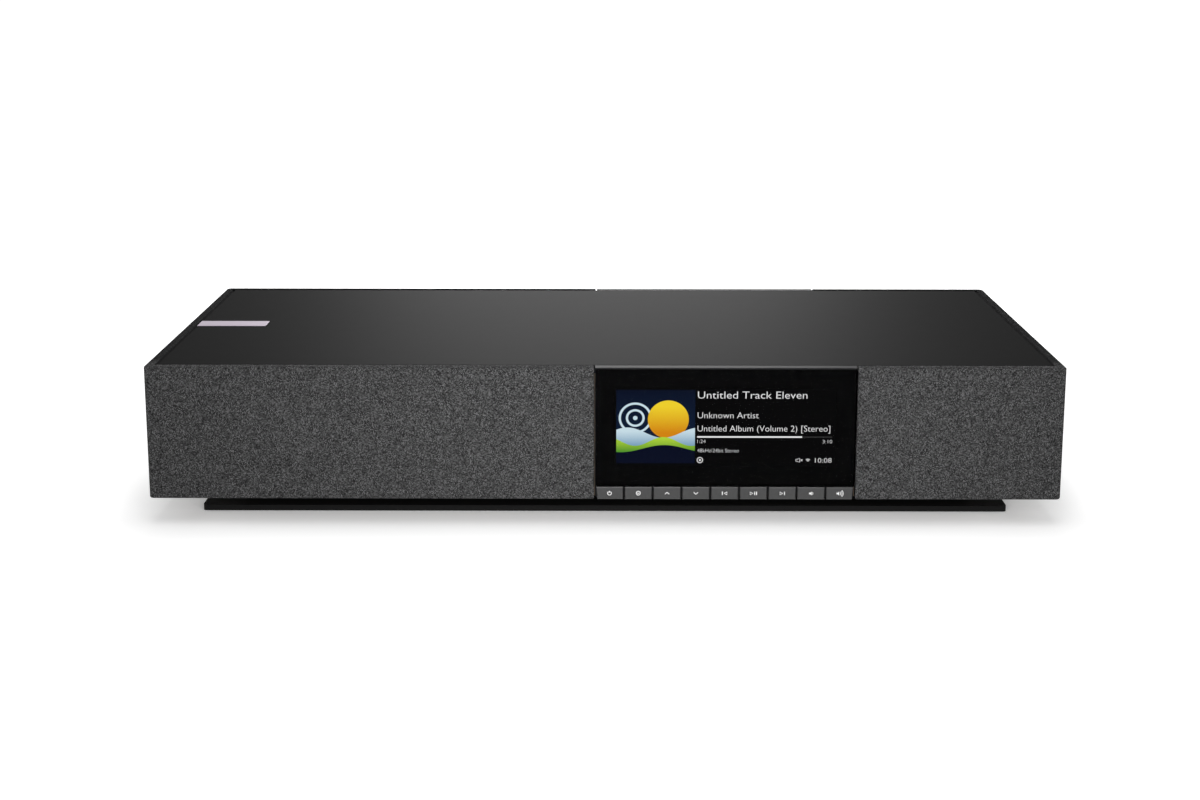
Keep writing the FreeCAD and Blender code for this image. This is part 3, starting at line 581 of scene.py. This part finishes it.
def wrap_path(inset, deep, seam, end, leg, settings):
    """The level line of the cloth at one inset from the ends and one from the front and back: from the front
    seam's inner end out to the front, along it to the far end, round to the back, along it and in again at
    the rear seam. Corners are arcs that touch the inset lines. Their radius shrinks by the inset, and never
    below a small one."""
    least = 0.15 * mm
    leg = max(leg, deep + least)
    side = math.copysign(1.0, end - seam)
    seam_x, end_x = seam + side * inset, end - side * inset
    front_y, back_y = cabinet_front + deep, cabinet_back - deep
    small, large = (max(radius - inset, least) for radius in (settings.turn, settings.corner))
    t = np.linspace(0, math.pi / 2, 6)

    def bend(x, y, radius, toward_x, toward_y, along_x_first):
        """A quarter circle in the corner at x and y. Its centre lies the given way from the corner."""
        first, second = (np.sin(t), np.cos(t)) if along_x_first else (np.cos(t), np.sin(t))
        return np.stack([x + toward_x * radius - toward_x * radius * first,
                         y + toward_y * radius - toward_y * radius * second], -1)

    return np.concatenate([
        [[seam_x, cabinet_front + leg]],
        bend(seam_x, front_y, small, side, 1, False),
        bend(end_x, front_y, large, -side, 1, True),
        bend(end_x, back_y, large, -side, -1, False),
        bend(seam_x, back_y, small, side, -1, True),
        [[seam_x, cabinet_back - leg]],
    ])


def travelled(line):
    """The distance along a line at each of its points."""
    return np.concatenate([[0], np.cumsum(np.linalg.norm(np.diff(line, axis=0), axis=1))])


def wrapped_cloth(side, seam, end, settings, material):
    """The cloth on one side: the section carried along the level line, point by point."""
    node, grille = "grille_cloth_" + side, "grille_frame_" + side
    rim = lid_low.x - cloth_left_low.x - settings.gap
    front_rim = lid_low.y - cabinet_front - settings.front_gap
    leg = rim + 0.4 * mm
    profile = wrap_profile(settings.turn, rim, front_rim)
    points = np.stack([np.insert(wrap_path(inset, deep, seam, end, leg, settings), 2, height, axis=1)
                       for inset, deep, height in profile])
    along = travelled(wrap_path(0.0, 0.0, seam, end, leg, settings))
    down = travelled(profile[:, [0, 2]])
    faces = grid_faces(len(down), len(along))
    if end > seam:
        faces = [face[::-1] for face in faces]
    piece = new_piece("cloth_" + side, [(points, faces)], material, "heather_cloth",
                      uv=np.stack(np.meshgrid(along, down), -1), smooth=True)
    shell = piece.modifiers.new("Thickness", "SOLIDIFY")
    shell.thickness = settings.thickness
    shell.offset = -1.0
    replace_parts(piece, node)


class SPEAKER_OT_cloth(bpy.types.Operator):
    """Wrap the two grilles in heather cloth"""
    bl_idname = "speaker.cloth"
    bl_label = "Cloth"

    def execute(self, context):
        settings = context.scene.speaker_cloth
        weave = woven_cloth("heather_weave", settings)
        wrapped_cloth("left", cloth_left_high.x, cloth_left_low.x, settings, weave)
        wrapped_cloth("right", cloth_right_low.x, cloth_right_high.x, settings, weave)
        dress(moulded("grille_plastic", grey(0.004), 0.8, level=0.02), "grille_frame_left",
              "grille_frame_right")
        return {"FINISHED"}


# Cabinet

def edged_plate(low, high, edge, steps=6):
    """A level plate with finely rounded upper edges: the rectangle between two corners is carried along a
    section of (inset, height) points, up the wall and over the edge by a quarter circle."""
    t = np.linspace(0, math.pi / 2, steps)
    inset = np.concatenate([[0.0], edge - edge * np.cos(t)])
    height = np.concatenate([[low.z], high.z - edge + edge * np.sin(t)])
    left, right, front, back = low.x + inset, high.x - inset, low.y + inset, high.y - inset
    points = np.stack([left, front, height, right, front, height, right, back, height, left, back, height],
                      -1)
    last = 4 * len(height) - 4
    faces = grid_faces(len(height), 4, close_columns=True)
    return points, faces + [[3, 2, 1, 0], [last, last + 1, last + 2, last + 3]]


class SPEAKER_OT_cabinet(bpy.types.Operator):
    """Finish the lid, its metal strip, the boards and the plinth"""
    bl_idname = "speaker.cabinet"
    bl_label = "Cabinet"

    def execute(self, context):
        colours = context.scene.speaker_finish
        dress(moulded("lid_satin", colours.lid, 0.62, grain=0.25 * mm, depth=0.004 * mm, level=0.0047,
                      edge=grey(0.028)), "top_panel")
        metal = brushed("strip_metal", colours.strip, 0.35, (0.04, 1.0, 1.0))
        rounding = 0.06 * mm
        strip = edged_plate(*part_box("accent_strip"), rounding)
        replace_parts(new_piece("metal_strip", [strip], metal, "strip"), "accent_strip")
        dress(fibreboard("cabinet_board", (0.16, 0.12, 0.085)), "cabinet_floor", "baffles", "rear_boards",
              "end_boards", "dividers")
        dress(moulded("plinth_satin", grey(0.0155), 0.5, level=0.03), "plinth_plate")
        dress(moulded("riser_paint", grey(0.006), 0.8, level=0.03), "plinth_riser")
        dress(moulded("foot_rubber", grey(0.012), 0.95, grain=0.5 * mm, depth=0.03 * mm), "feet")
        return {"FINISHED"}


# Screen

page_margin = 3.0 * mm
page_left, page_right = screen_low.x + page_margin, screen_high.x - page_margin
page_bottom, page_top = screen_low.z + page_margin, screen_high.z - page_margin
page_back = glass_high.y - 0.02 * mm
words_left, words_right = 61.4, 162.0


def layer(front, back):
    """Two depths of the page, in millimetres in front of its back."""
    return page_back - front * mm, page_back - back * mm


ground_layer, border_layer = layer(0.02, 0.0), layer(0.03, 0.0)
picture_layer, sign_layer = layer(0.045, 0.02), layer(0.05, 0.02)


def on_page(across, down):
    """The (x, z) point of the page at millimetres from its left and top edges."""
    return page_left + across * mm, page_top - down * mm


def page_rectangle(left, right, top, bottom):
    """The corners of an upright rectangle on the page."""
    (x0, z0), (x1, z1) = on_page(left, bottom), on_page(right, top)
    return rectangle(x0, x1, z0, z1)


def page_piece(name, parts, material, **look):
    """A piece of the page, from (points, faces) parts."""
    new_piece(name, parts, material, "screen", **look)


def written(name, words, material, baseline, capitals, width, weight, at_right):
    """A line of words as a thin mesh on the page, from the left or up to the right margin. Its baseline lies
    the given distance down, and its capitals' height and its width are fitted. The weight moves the letters'
    outlines, as a share of the font's size."""
    curve = bpy.data.curves.new(name + "_line", "FONT")
    curve.body = words
    curve.resolution_u = 3
    curve.offset = weight
    curve.extrude = 0.01
    source = bpy.data.objects.new(name + "_line", curve)
    mesh = bpy.data.meshes.new_from_object(source)
    bpy.data.objects.remove(source)
    bpy.data.curves.remove(curve)
    solid = bmesh.new()
    solid.from_mesh(mesh)
    bmesh.ops.remove_doubles(solid, verts=solid.verts[:], dist=1e-5)
    bmesh.ops.recalc_face_normals(solid, faces=solid.faces[:])
    solid.to_mesh(mesh)
    solid.free()
    flat = vertex_places(mesh)
    faces = [list(face.vertices) for face in mesh.polygons]
    bpy.data.meshes.remove(mesh)
    letter_height = 0.67
    end_x, base_z = on_page(words_right if at_right else words_left, baseline)
    x = (flat[:, 0] - flat[:, 0].min()) * (width * mm / float(np.ptp(flat[:, 0])))
    x = x - x.max() + end_x if at_right else x + end_x
    z = flat[:, 1] * (capitals * mm / letter_height) + base_z
    y = page_back - 0.04 * mm - np.sign(flat[:, 2]) * 0.01 * mm
    page_piece(name, [(np.stack([x, y, z], -1), faces)], material)


class SPEAKER_OT_screen(bpy.types.Operator):
    """Light the page behind the glass"""
    bl_idname = "speaker.screen"
    bl_label = "Screen"

    def execute(self, context):
        settings = context.scene.speaker_screen
        glow = settings.glow
        white = lit("page_white", (0.86, 0.87, 0.88), glow)
        dim = lit("page_dim", grey(0.03), glow)
        edge = 0.3 * mm
        left, right = glass_low.x + edge, glass_high.x - edge
        border = (rectangle(left, right, glass_low.z + edge, page_bottom),
                  rectangle(left, right, page_top, glass_high.z - edge),
                  rectangle(left, page_left, page_bottom, page_top),
                  rectangle(page_right, right, page_bottom, page_top))
        page_piece("glass_border", [flat_plate(bar, *border_layer) for bar in border],
                   moulded("glass_ink", (0.0018, 0.0018, 0.0019), 0.6, level=0.0))
        ground = rectangle(page_left, page_right, page_bottom, page_top)
        page_piece("page", [flat_plate(ground, *ground_layer)],
                   lit("page_ground", (0.0032, 0.0032, 0.0034), glow))
        page_piece("page_picture", [flat_plate(page_rectangle(0.8, 59.5, 1.0, 57.5), *picture_layer)],
                   picture("page_picture", glow), uv=rectangle(0, 1, 0, 1) * 2)

        bold, medium, light, thin = -0.007, -0.011, -0.013, -0.017
        for name, words, baseline, capitals, width, weight, at_right in (
            ("title", settings.title, 7.4, 5.4, 81.4, bold, False),
            ("artist", settings.artist, 22.6, 4.6, 45.5, medium, False),
            ("album", settings.album, 32.8, 4.6, 99.0, medium, False),
            ("time", "1:24", 41.8, 2.6, 6.1, thin, False),
            ("length", "3:10", 41.8, 2.6, 7.0, thin, True),
            ("format", "48kHz/24bit Stereo", 49.0, 2.9, 31.0, thin, False),
            ("clock", "10:08", 56.9, 3.6, 12.4, light, True),
        ):
            written("page_" + name, words, white, baseline, capitals, width, weight, at_right)

        bar_left, bar_right = 61.2, words_right
        bar_end = bar_left + settings.played * (bar_right - bar_left)
        played = page_rectangle(bar_left, bar_end, 36.4, 37.6)
        left_over = page_rectangle(bar_end, bar_right, 36.5, 37.5)
        page_piece("page_bar", [flat_plate(played, *sign_layer)], white)
        page_piece("page_track", [flat_plate(left_over, *sign_layer)], dim)
        disc = Sign(on_page(63.4, 55.0), sign_layer, width=0.55)
        page_piece("page_round_sign", [
            disc.curve((0, 0), 2.05, 0, 345, closed=True),
            flat_plate(arc(disc.middle, 0.75 * mm, 0, 345), *sign_layer),
        ], white)
        mute = Sign(on_page(137.6, 55.0), sign_layer, width=0.4)
        page_piece("page_mute_sign", [
            mute.stroke((-2.4, -0.7), (-1.2, -0.8), (0.5, -1.7), (0.5, 1.7), (-1.2, 0.8), (-2.4, 0.7),
                        closed=True),
            mute.stroke((1.3, -0.7), (2.6, 0.7)),
            mute.stroke((1.3, 0.7), (2.6, -0.7)),
        ], white)
        waves = Sign(on_page(144.3, 56.2), sign_layer, width=0.45)
        page_piece("page_radio_sign", [waves.curve((0, 0), radius, 45, 135, count=9)
                                       for radius in (0.5, 1.3, 2.1)], white)
        dress(screen_glass("dark_glass", grey(0.9)), "cover_glass")
        dress(moulded("panel_face", grey(0.004), 0.4), "lcd_module")
        dress(brushed("clamp_steel", grey(0.5), 0.4, (0.05, 1.0, 1.0)), "lcd_backplate")
        dress(moulded("screen_moulding", context.scene.speaker_finish.moulding, 0.6, level=0.018),
              "display_housing")
        return {"FINISHED"}


# Keys

def legend_parts(key, line, wave):
    """The printed sign of one key. One Sign draws its lines and plates, another its sound waves."""
    def bar(left, right):
        """An upright bar, as tall as the signs beside it."""
        return line.shape(*rectangle(left, right, -1.35, 1.35))

    def loudspeaker(middle):
        """A loudspeaker's box and horn."""
        box_left, box_right, horn_right = middle - 1.5, middle - 0.5, middle + 0.5
        return [line.shape(*rectangle(box_left, box_right, -0.6, 0.6)),
                line.shape((box_right, -0.6), (horn_right, -1.6), (horn_right, 1.6), (box_right, 0.6))]

    return {
        "power": [line.curve((0, -0.1), 1.4, 125, 415), line.stroke((0, 0.4), (0, 1.75))],
        "source": [line.curve((0, 0), 1.5, 0, 345, closed=True), line.stroke((-0.8, 0), (0.8, 0))],
        "up": [line.stroke((-1.6, -0.75), (0, 0.75), (1.6, -0.75))],
        "down": [line.stroke((-1.6, 0.75), (0, -0.75), (1.6, 0.75))],
        "previous": [bar(-2.05, -1.4), line.stroke((1.7, -1.1), (1.7, 1.1), (-0.4, 0), closed=True)],
        "play_pause": [line.stroke((-2.5, -1.1), (-0.4, 0), (-2.5, 1.1), closed=True), bar(0.6, 1.25),
                       bar(2.0, 2.65)],
        "next": [bar(1.4, 2.05), line.stroke((-1.7, 1.1), (-1.7, -1.1), (0.4, 0), closed=True)],
        "volume_down": loudspeaker(0) + [wave.curve((0.2, 0), 1.2, -50, 50, count=9)],
        "volume_up": loudspeaker(-1.0) + [wave.curve((-0.6, 0), radius, -50, 50, count=11)
                                          for radius in (1.3, 2.3, 3.2)],
    }[key]


class SPEAKER_OT_keys(bpy.types.Operator):
    """Finish the keys and print their signs"""
    bl_idname = "speaker.keys"
    bl_label = "Keys"

    def execute(self, context):
        satin = moulded("key_satin", context.scene.speaker_finish.keys, 0.22, grain=0.2 * mm,
                        depth=0.002 * mm)
        print_white = moulded("legend_white", grey(0.88), 0.6)
        proud, sunk = 0.04 * mm, 0.02 * mm
        for key in key_names:
            node = "button_" + key
            dress(satin, node)
            low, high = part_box(node)
            middle = (low.x + high.x) / 2, (low.z + high.z) / 2
            line, wave = (Sign(middle, (low.y - proud, low.y + sunk), width) for width in (0.6, 0.45))
            new_piece("legend_" + key, legend_parts(key, line, wave), print_white, "key_grey", body=node)
        dress(moulded("switch_black", grey(0.03), 0.5), "key_switches")
        dress(circuit_green("key_board_green", (0.01, 0.09, 0.035)), "key_board")
        return {"FINISHED"}


# Inside

class SPEAKER_OT_inside(bpy.types.Operator):
    """Finish the drivers, the boards and what is on them"""
    bl_idname = "speaker.inside"
    bl_label = "Inside"

    def execute(self, context):
        dress(moulded("basket_paint", grey(0.02), 0.5), "woofer_baskets")
        dress(moulded("magnet_ferrite", (0.05, 0.05, 0.052), 0.75, grain=0.6 * mm, depth=0.03 * mm),
              "woofer_magnets", "tweeter_magnets")
        dress(moulded("surround_rubber", grey(0.015), 0.8), "woofer_surrounds")
        dress(fibreboard("cone_pulp", (0.035, 0.033, 0.03)), "woofer_cones")
        dress(moulded("tweeter_plastic", grey(0.02), 0.5), "tweeter_plates")
        dress(moulded("dome_cloth", (0.03, 0.028, 0.028), 0.85, grain=0.3 * mm, depth=0.05 * mm),
              "tweeter_domes")
        dress(circuit_green("board_green", (0.012, 0.1, 0.04)), "main_board", "amplifier_board",
              "power_supply_board", "antennas")
        dress(moulded("standoff_nylon", (0.5, 0.5, 0.46), 0.5), "standoffs")
        dress(brushed("sink_aluminium", (0.6, 0.6, 0.62), 0.4, (1.0, 0.05, 1.0)), "heat_sink")
        dress(moulded("transformer_core", (0.09, 0.085, 0.08), 0.6, grain=0.8 * mm, depth=0.05 * mm),
              "transformer")
        dress(moulded("cable_film", (0.7, 0.7, 0.66), 0.4), "display_cable")
        return {"FINISHED"}


# Rear bay and fasteners

def cross_screw(centre, outward, radius, length, head):
    """A screw with a low domed head and a cross-shaped recess. Rings of points lie at radius r and angle t.
    The dome rises by crown * (1 - (r / radius) ** 2). Inside the cross, where the smaller of |r cos t| and
    |r sin t| is under half the slot and r is under its reach, the point drops by the slot's depth."""
    outward = np.asarray(outward, dtype=float)
    across = np.array([1.0, 0.0, 0.0])
    other = np.cross(outward, across)
    crown, slot, reach, depth = 0.12 * radius, 0.34 * radius, 0.62 * radius, 0.35 * head
    shank = 0.5 * radius
    sides = 48
    r = np.concatenate([np.linspace(0.04, 0.98, 22) * radius, [radius]])
    t = np.arange(sides) * 2 * math.pi / sides
    ring, turn = np.meshgrid(r, t, indexing="ij")
    a, b = ring * np.cos(turn), ring * np.sin(turn)
    inside = (np.minimum(np.abs(a), np.abs(b)) < slot / 2) & (ring < reach)
    height = crown * (1 - (ring / radius) ** 2) - crown - np.where(inside, depth, 0.0)
    a, b, height = a[..., None], b[..., None], height[..., None]
    rows = list(centre + a * across + b * other + height * outward)
    for size, drop in ((radius, head), (shank, head), (shank, length)):
        edge = size * (np.cos(t)[:, None] * across + np.sin(t)[:, None] * other)
        rows.append(centre + edge - drop * outward)
    faces = [face[::-1] for face in grid_faces(len(rows), sides, close_columns=True)]
    last = (len(rows) - 1) * sides
    faces += [list(range(sides)), list(range(last, last + sides))[::-1]]
    return np.concatenate(rows), faces


def screw_places(node, outward):
    """Centres of the heads of a node's four screws, one in each quarter of its box: the middle of the
    quarter's points, moved to their outer end."""
    low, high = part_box(node)
    points = vertex_places(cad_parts[node].data)
    axis = int(np.argmax(np.abs(outward)))
    quarter = np.delete(np.sign(points - np.array(low + high) / 2), axis, axis=1)
    places = []
    for sides in ((-1, -1), (-1, 1), (1, -1), (1, 1)):
        near = points[(quarter == sides).all(axis=1)]
        centre = (near.min(0) + near.max(0)) / 2
        centre[axis] = near[:, axis].max() if outward[axis] > 0 else near[:, axis].min()
        places.append(centre)
    return places


def cross_screws(name, node, outward, material, slot, **sizes):
    """Screws with domed heads and cross recesses in place of a node's plain ones."""
    parts = [cross_screw(place, outward, **sizes) for place in screw_places(node, outward)]
    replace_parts(new_piece(name, parts, material, slot), node)


class SPEAKER_OT_rear(bpy.types.Operator):
    """Finish the rear bay, its sockets and the screws"""
    bl_idname = "speaker.rear"
    bl_label = "Rear bay"

    def execute(self, context):
        moulding = context.scene.speaker_finish.moulding
        dress(moulded("rear_moulding", moulding, 0.6, grain=0.6 * mm, depth=0.02 * mm, level=0.02),
              "rear_housing")
        dress(moulded("plate_paint", (0.03, 0.03, 0.031), 0.6, grain=0.4 * mm), "connector_plate")
        dress(moulded("inlet_plastic", grey(0.015), 0.4), "mains_inlet")
        dress(moulded("optical_plastic", (0.02, 0.02, 0.022), 0.4), "optical_socket")
        dress(moulded("flap_plastic", (0.05, 0.05, 0.055), 0.5), "optical_flap")
        dress(brushed("socket_steel", (0.3, 0.3, 0.31), 0.5, (1.0, 0.1, 1.0)), "video_socket",
              "service_socket", "network_socket")
        dress(plated("bright_plate", (0.36, 0.35, 0.33), 0.45), "audio_jacks", "mains_pins", "ground_post")
        dress(plated("nut_plate", (0.33, 0.31, 0.27), 0.45), "ground_nut")

        black = plated("screw_black", (0.05, 0.05, 0.052), 0.4)
        bright = plated("screw_bright", grey(0.5), 0.35)
        cross_screws("rear_cross_screws", "rear_screws", (0, 1, 0), black, "black_steel", radius=2.8 * mm,
                     length=12.0 * mm, head=1.6 * mm)
        cross_screws("plinth_cross_screws", "plinth_screws", (0, 0, -1), bright, "plain_steel",
                     radius=4.0 * mm, length=25.0 * mm, head=2.5 * mm)

        low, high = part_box("audio_jacks")
        jack_x, reach = (low.x + high.x) / 2, (high.x - low.x) / 2
        collar_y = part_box("connector_plate")[1].y + 1.5 * mm
        for name, z, shade in (("jack_ring_white", high.z - reach, (0.6, 0.6, 0.58)),
                               ("jack_ring_red", low.z + reach, (0.55, 0.02, 0.02))):
            disc = turned_ring((jack_x, high.y, z), 1.62 * mm, 3.5 * mm, -1.0 * mm, 0.12 * mm)
            collar = turned_ring((jack_x, collar_y, z), 4.2 * mm, 5.2 * mm, -0.3 * mm, 0.35 * mm)
            new_piece(name, [disc, collar], moulded(name + "_plastic", shade, 0.4), "plated")

        low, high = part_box("network_socket")
        middle = (low + high) / 2
        pitch, half_width, contact_bottom, contact_top = 1.02 * mm, 0.2 * mm, 3.6 * mm, 4.4 * mm
        contacts = [flat_plate(rectangle(x - half_width, x + half_width, middle.z + contact_bottom,
                                         middle.z + contact_top), high.y - 8.0 * mm, high.y - 1.5 * mm)
                    for x in middle.x + (np.arange(8) - 3.5) * pitch]
        new_piece("network_contacts", contacts, plated("contact_gold", (0.6, 0.4, 0.14), 0.4), "plated")
        return {"FINISHED"}


# Stage

def lamp(name, power, size, place, aim):
    """A soft rectangular lamp that the camera doesn't see."""
    data = bpy.data.lights.new(name, "AREA")
    data.shape = "RECTANGLE"
    data.size, data.size_y = size
    data.energy = power
    made = placed(name, data)
    made.location = place
    made.rotation_euler = (Vector(aim) - Vector(place)).to_track_quat("-Z", "Y").to_euler()
    made.visible_camera = False
    return made


def white_world(ambient):
    """White where it is seen, and an even soft light where it isn't."""
    world = bpy.data.worlds.new("studio")
    bpy.context.scene.world = world
    world.use_nodes = True
    world.node_tree.nodes.clear()
    made = NodeTree(world.node_tree)
    strength = made.ramp(made.seen_directly(), 0.0, 1.0, ambient, 1.0)
    background = made.node("Background", Color=grey(1.0), Strength=strength)
    made.node("OutputWorld", Surface=background.outputs["Background"])


def floor_material():
    """A pale floor that keeps shadows. Where it is seen directly, light is added so that the lit floor is
    white: a share that grows with the distance outside the plinth's outline, and the rest as the smooth step
    of the distance from the origin. The first share is smallest at the plinth, which paints a soft shadow
    round it on top of the real one. The outline's distance is the length of (|x| - a, |y| - b), each at least
    0."""
    made = Finish("studio_floor", grey(0.8), 0.9, level=0.0)
    made.vary(made.noise(0.5), 0.01)
    place = made.split(made.node("TexCoord").outputs["Object"])
    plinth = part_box("plinth_plate")[1]

    def beyond(axis, limit):
        """How far the place is from the middle along an axis, past a limit."""
        return made.math("MAXIMUM", made.math("SUBTRACT", made.math("ABSOLUTE", place[axis]), limit), 0.0)

    outside = made.distance(beyond("X", plinth.x), beyond("Y", plinth.y))
    # Painted shadow: less light is added next to the plinth, so the floor round it is darker.
    near = made.ramp(outside, 0.0, 0.07, 0.28, 0.62)
    far = made.ramp(made.distance(beyond("X", 0.0), beyond("Y", 0.0)), 0.38, 1.2, 0.0, 0.4, kind="SMOOTHSTEP")
    made.feed("Emission Strength", made.times(made.seen_directly(), made.plus(near, far)))
    made.feed("Emission Color", grey(1.0))
    return made.material


class SPEAKER_OT_stage(bpy.types.Operator):
    """Set up the floor, the lamps, the world and the camera"""
    bl_idname = "speaker.stage"
    bl_label = "Stage"

    def execute(self, context):
        settings = context.scene.speaker_stage
        half, lines, sunk = 25.0, 13, 0.05 * mm
        x, y = np.meshgrid(*[np.linspace(-half, half, lines)] * 2)
        points = np.stack([x, y, np.full(x.shape, -sunk)], -1).reshape(-1, 3)
        mesh = bpy.data.meshes.new("floor")
        mesh.from_pydata(points.tolist(), [], grid_faces(lines, lines))
        mesh.materials.append(floor_material())
        floor = placed("floor", mesh)
        floor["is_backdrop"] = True
        white_world(settings.ambient)
        middle, lid = (0.0, 0.0, 60 * mm), (0.0, 0.0, 0.123)
        lamp("overhead", settings.overhead, size=(1.0, 1.8), place=(0.0, -0.8, 2.3), aim=middle)
        lamp("front", settings.fill, size=(0.3, 0.3), place=(0.05, -0.72, 0.22), aim=middle)
        for name, x in (("left", -1.6), ("right", 1.6)):
            side = lamp(name, settings.side, size=(0.25, 0.8), place=(x, 0.0, 0.13), aim=middle)
            side.visible_glossy = False
        lamp("rear", settings.rear, size=(0.78, 0.5), place=(0.0, 1.5, 0.53), aim=lid)

        data = bpy.data.cameras.new("camera")
        data.lens = settings.lens
        data.sensor_width = 36.0
        data.shift_y = settings.shift
        camera = placed("camera", data)
        camera.location = settings.camera
        turns = ((settings.yaw, "Z"), (math.pi / 2 - settings.pitch, "X"), (settings.roll, "Z"))
        yaw, tilt, roll = (Matrix.Rotation(angle, 4, axis) for angle, axis in turns)
        camera.rotation_euler = (yaw @ tilt @ roll).to_euler()
        context.scene.camera = camera
        context.scene.view_settings.view_transform = "Standard"
        return {"FINISHED"}


class SPEAKER_PT_panel(bpy.types.Panel):
    """Lists the speaker's pieces and their settings"""
    bl_idname = "SPEAKER_PT_panel"
    bl_label = "Speaker"
    bl_space_type = "VIEW_3D"
    bl_region_type = "UI"
    bl_category = "Speaker"

    def draw(self, context):
        layout = self.layout
        for operator in operators:
            layout.operator(operator.bl_idname)
        for group in settings_groups:
            box = layout.box()
            settings = getattr(context.scene, group)
            for name in settings.__annotations__:
                box.prop(settings, name)


operators = (SPEAKER_OT_cloth, SPEAKER_OT_cabinet, SPEAKER_OT_screen, SPEAKER_OT_keys, SPEAKER_OT_inside,
             SPEAKER_OT_rear, SPEAKER_OT_stage)
settings_groups = {
    "speaker_cloth": SpeakerClothSettings,
    "speaker_screen": SpeakerScreenSettings,
    "speaker_finish": SpeakerFinishSettings,
    "speaker_stage": SpeakerStageSettings,
}
registered = (*settings_groups.values(), *operators, SPEAKER_PT_panel)


def register():
    """Registers the settings, the operators and the panel."""
    for kind in registered:
        bpy.utils.register_class(kind)
    for name, group in settings_groups.items():
        setattr(bpy.types.Scene, name, PointerProperty(type=group))


def unregister():
    """Undoes register."""
    for name in settings_groups:
        delattr(bpy.types.Scene, name)
    for kind in reversed(registered):
        bpy.utils.unregister_class(kind)


def corners(bounds):
    """Bounds as plain lists."""
    return [list(corner) for corner in bounds]


def main():
    """Builds the looks on the frame."""
    frame_box = corners(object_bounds())
    register()
    for operator in operators:
        getattr(bpy.ops.speaker, operator.bl_idname.split(".")[1])()
    {"frame": frame_box, "dressed": corners(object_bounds())}


if __name__ == "__main__":
    main()
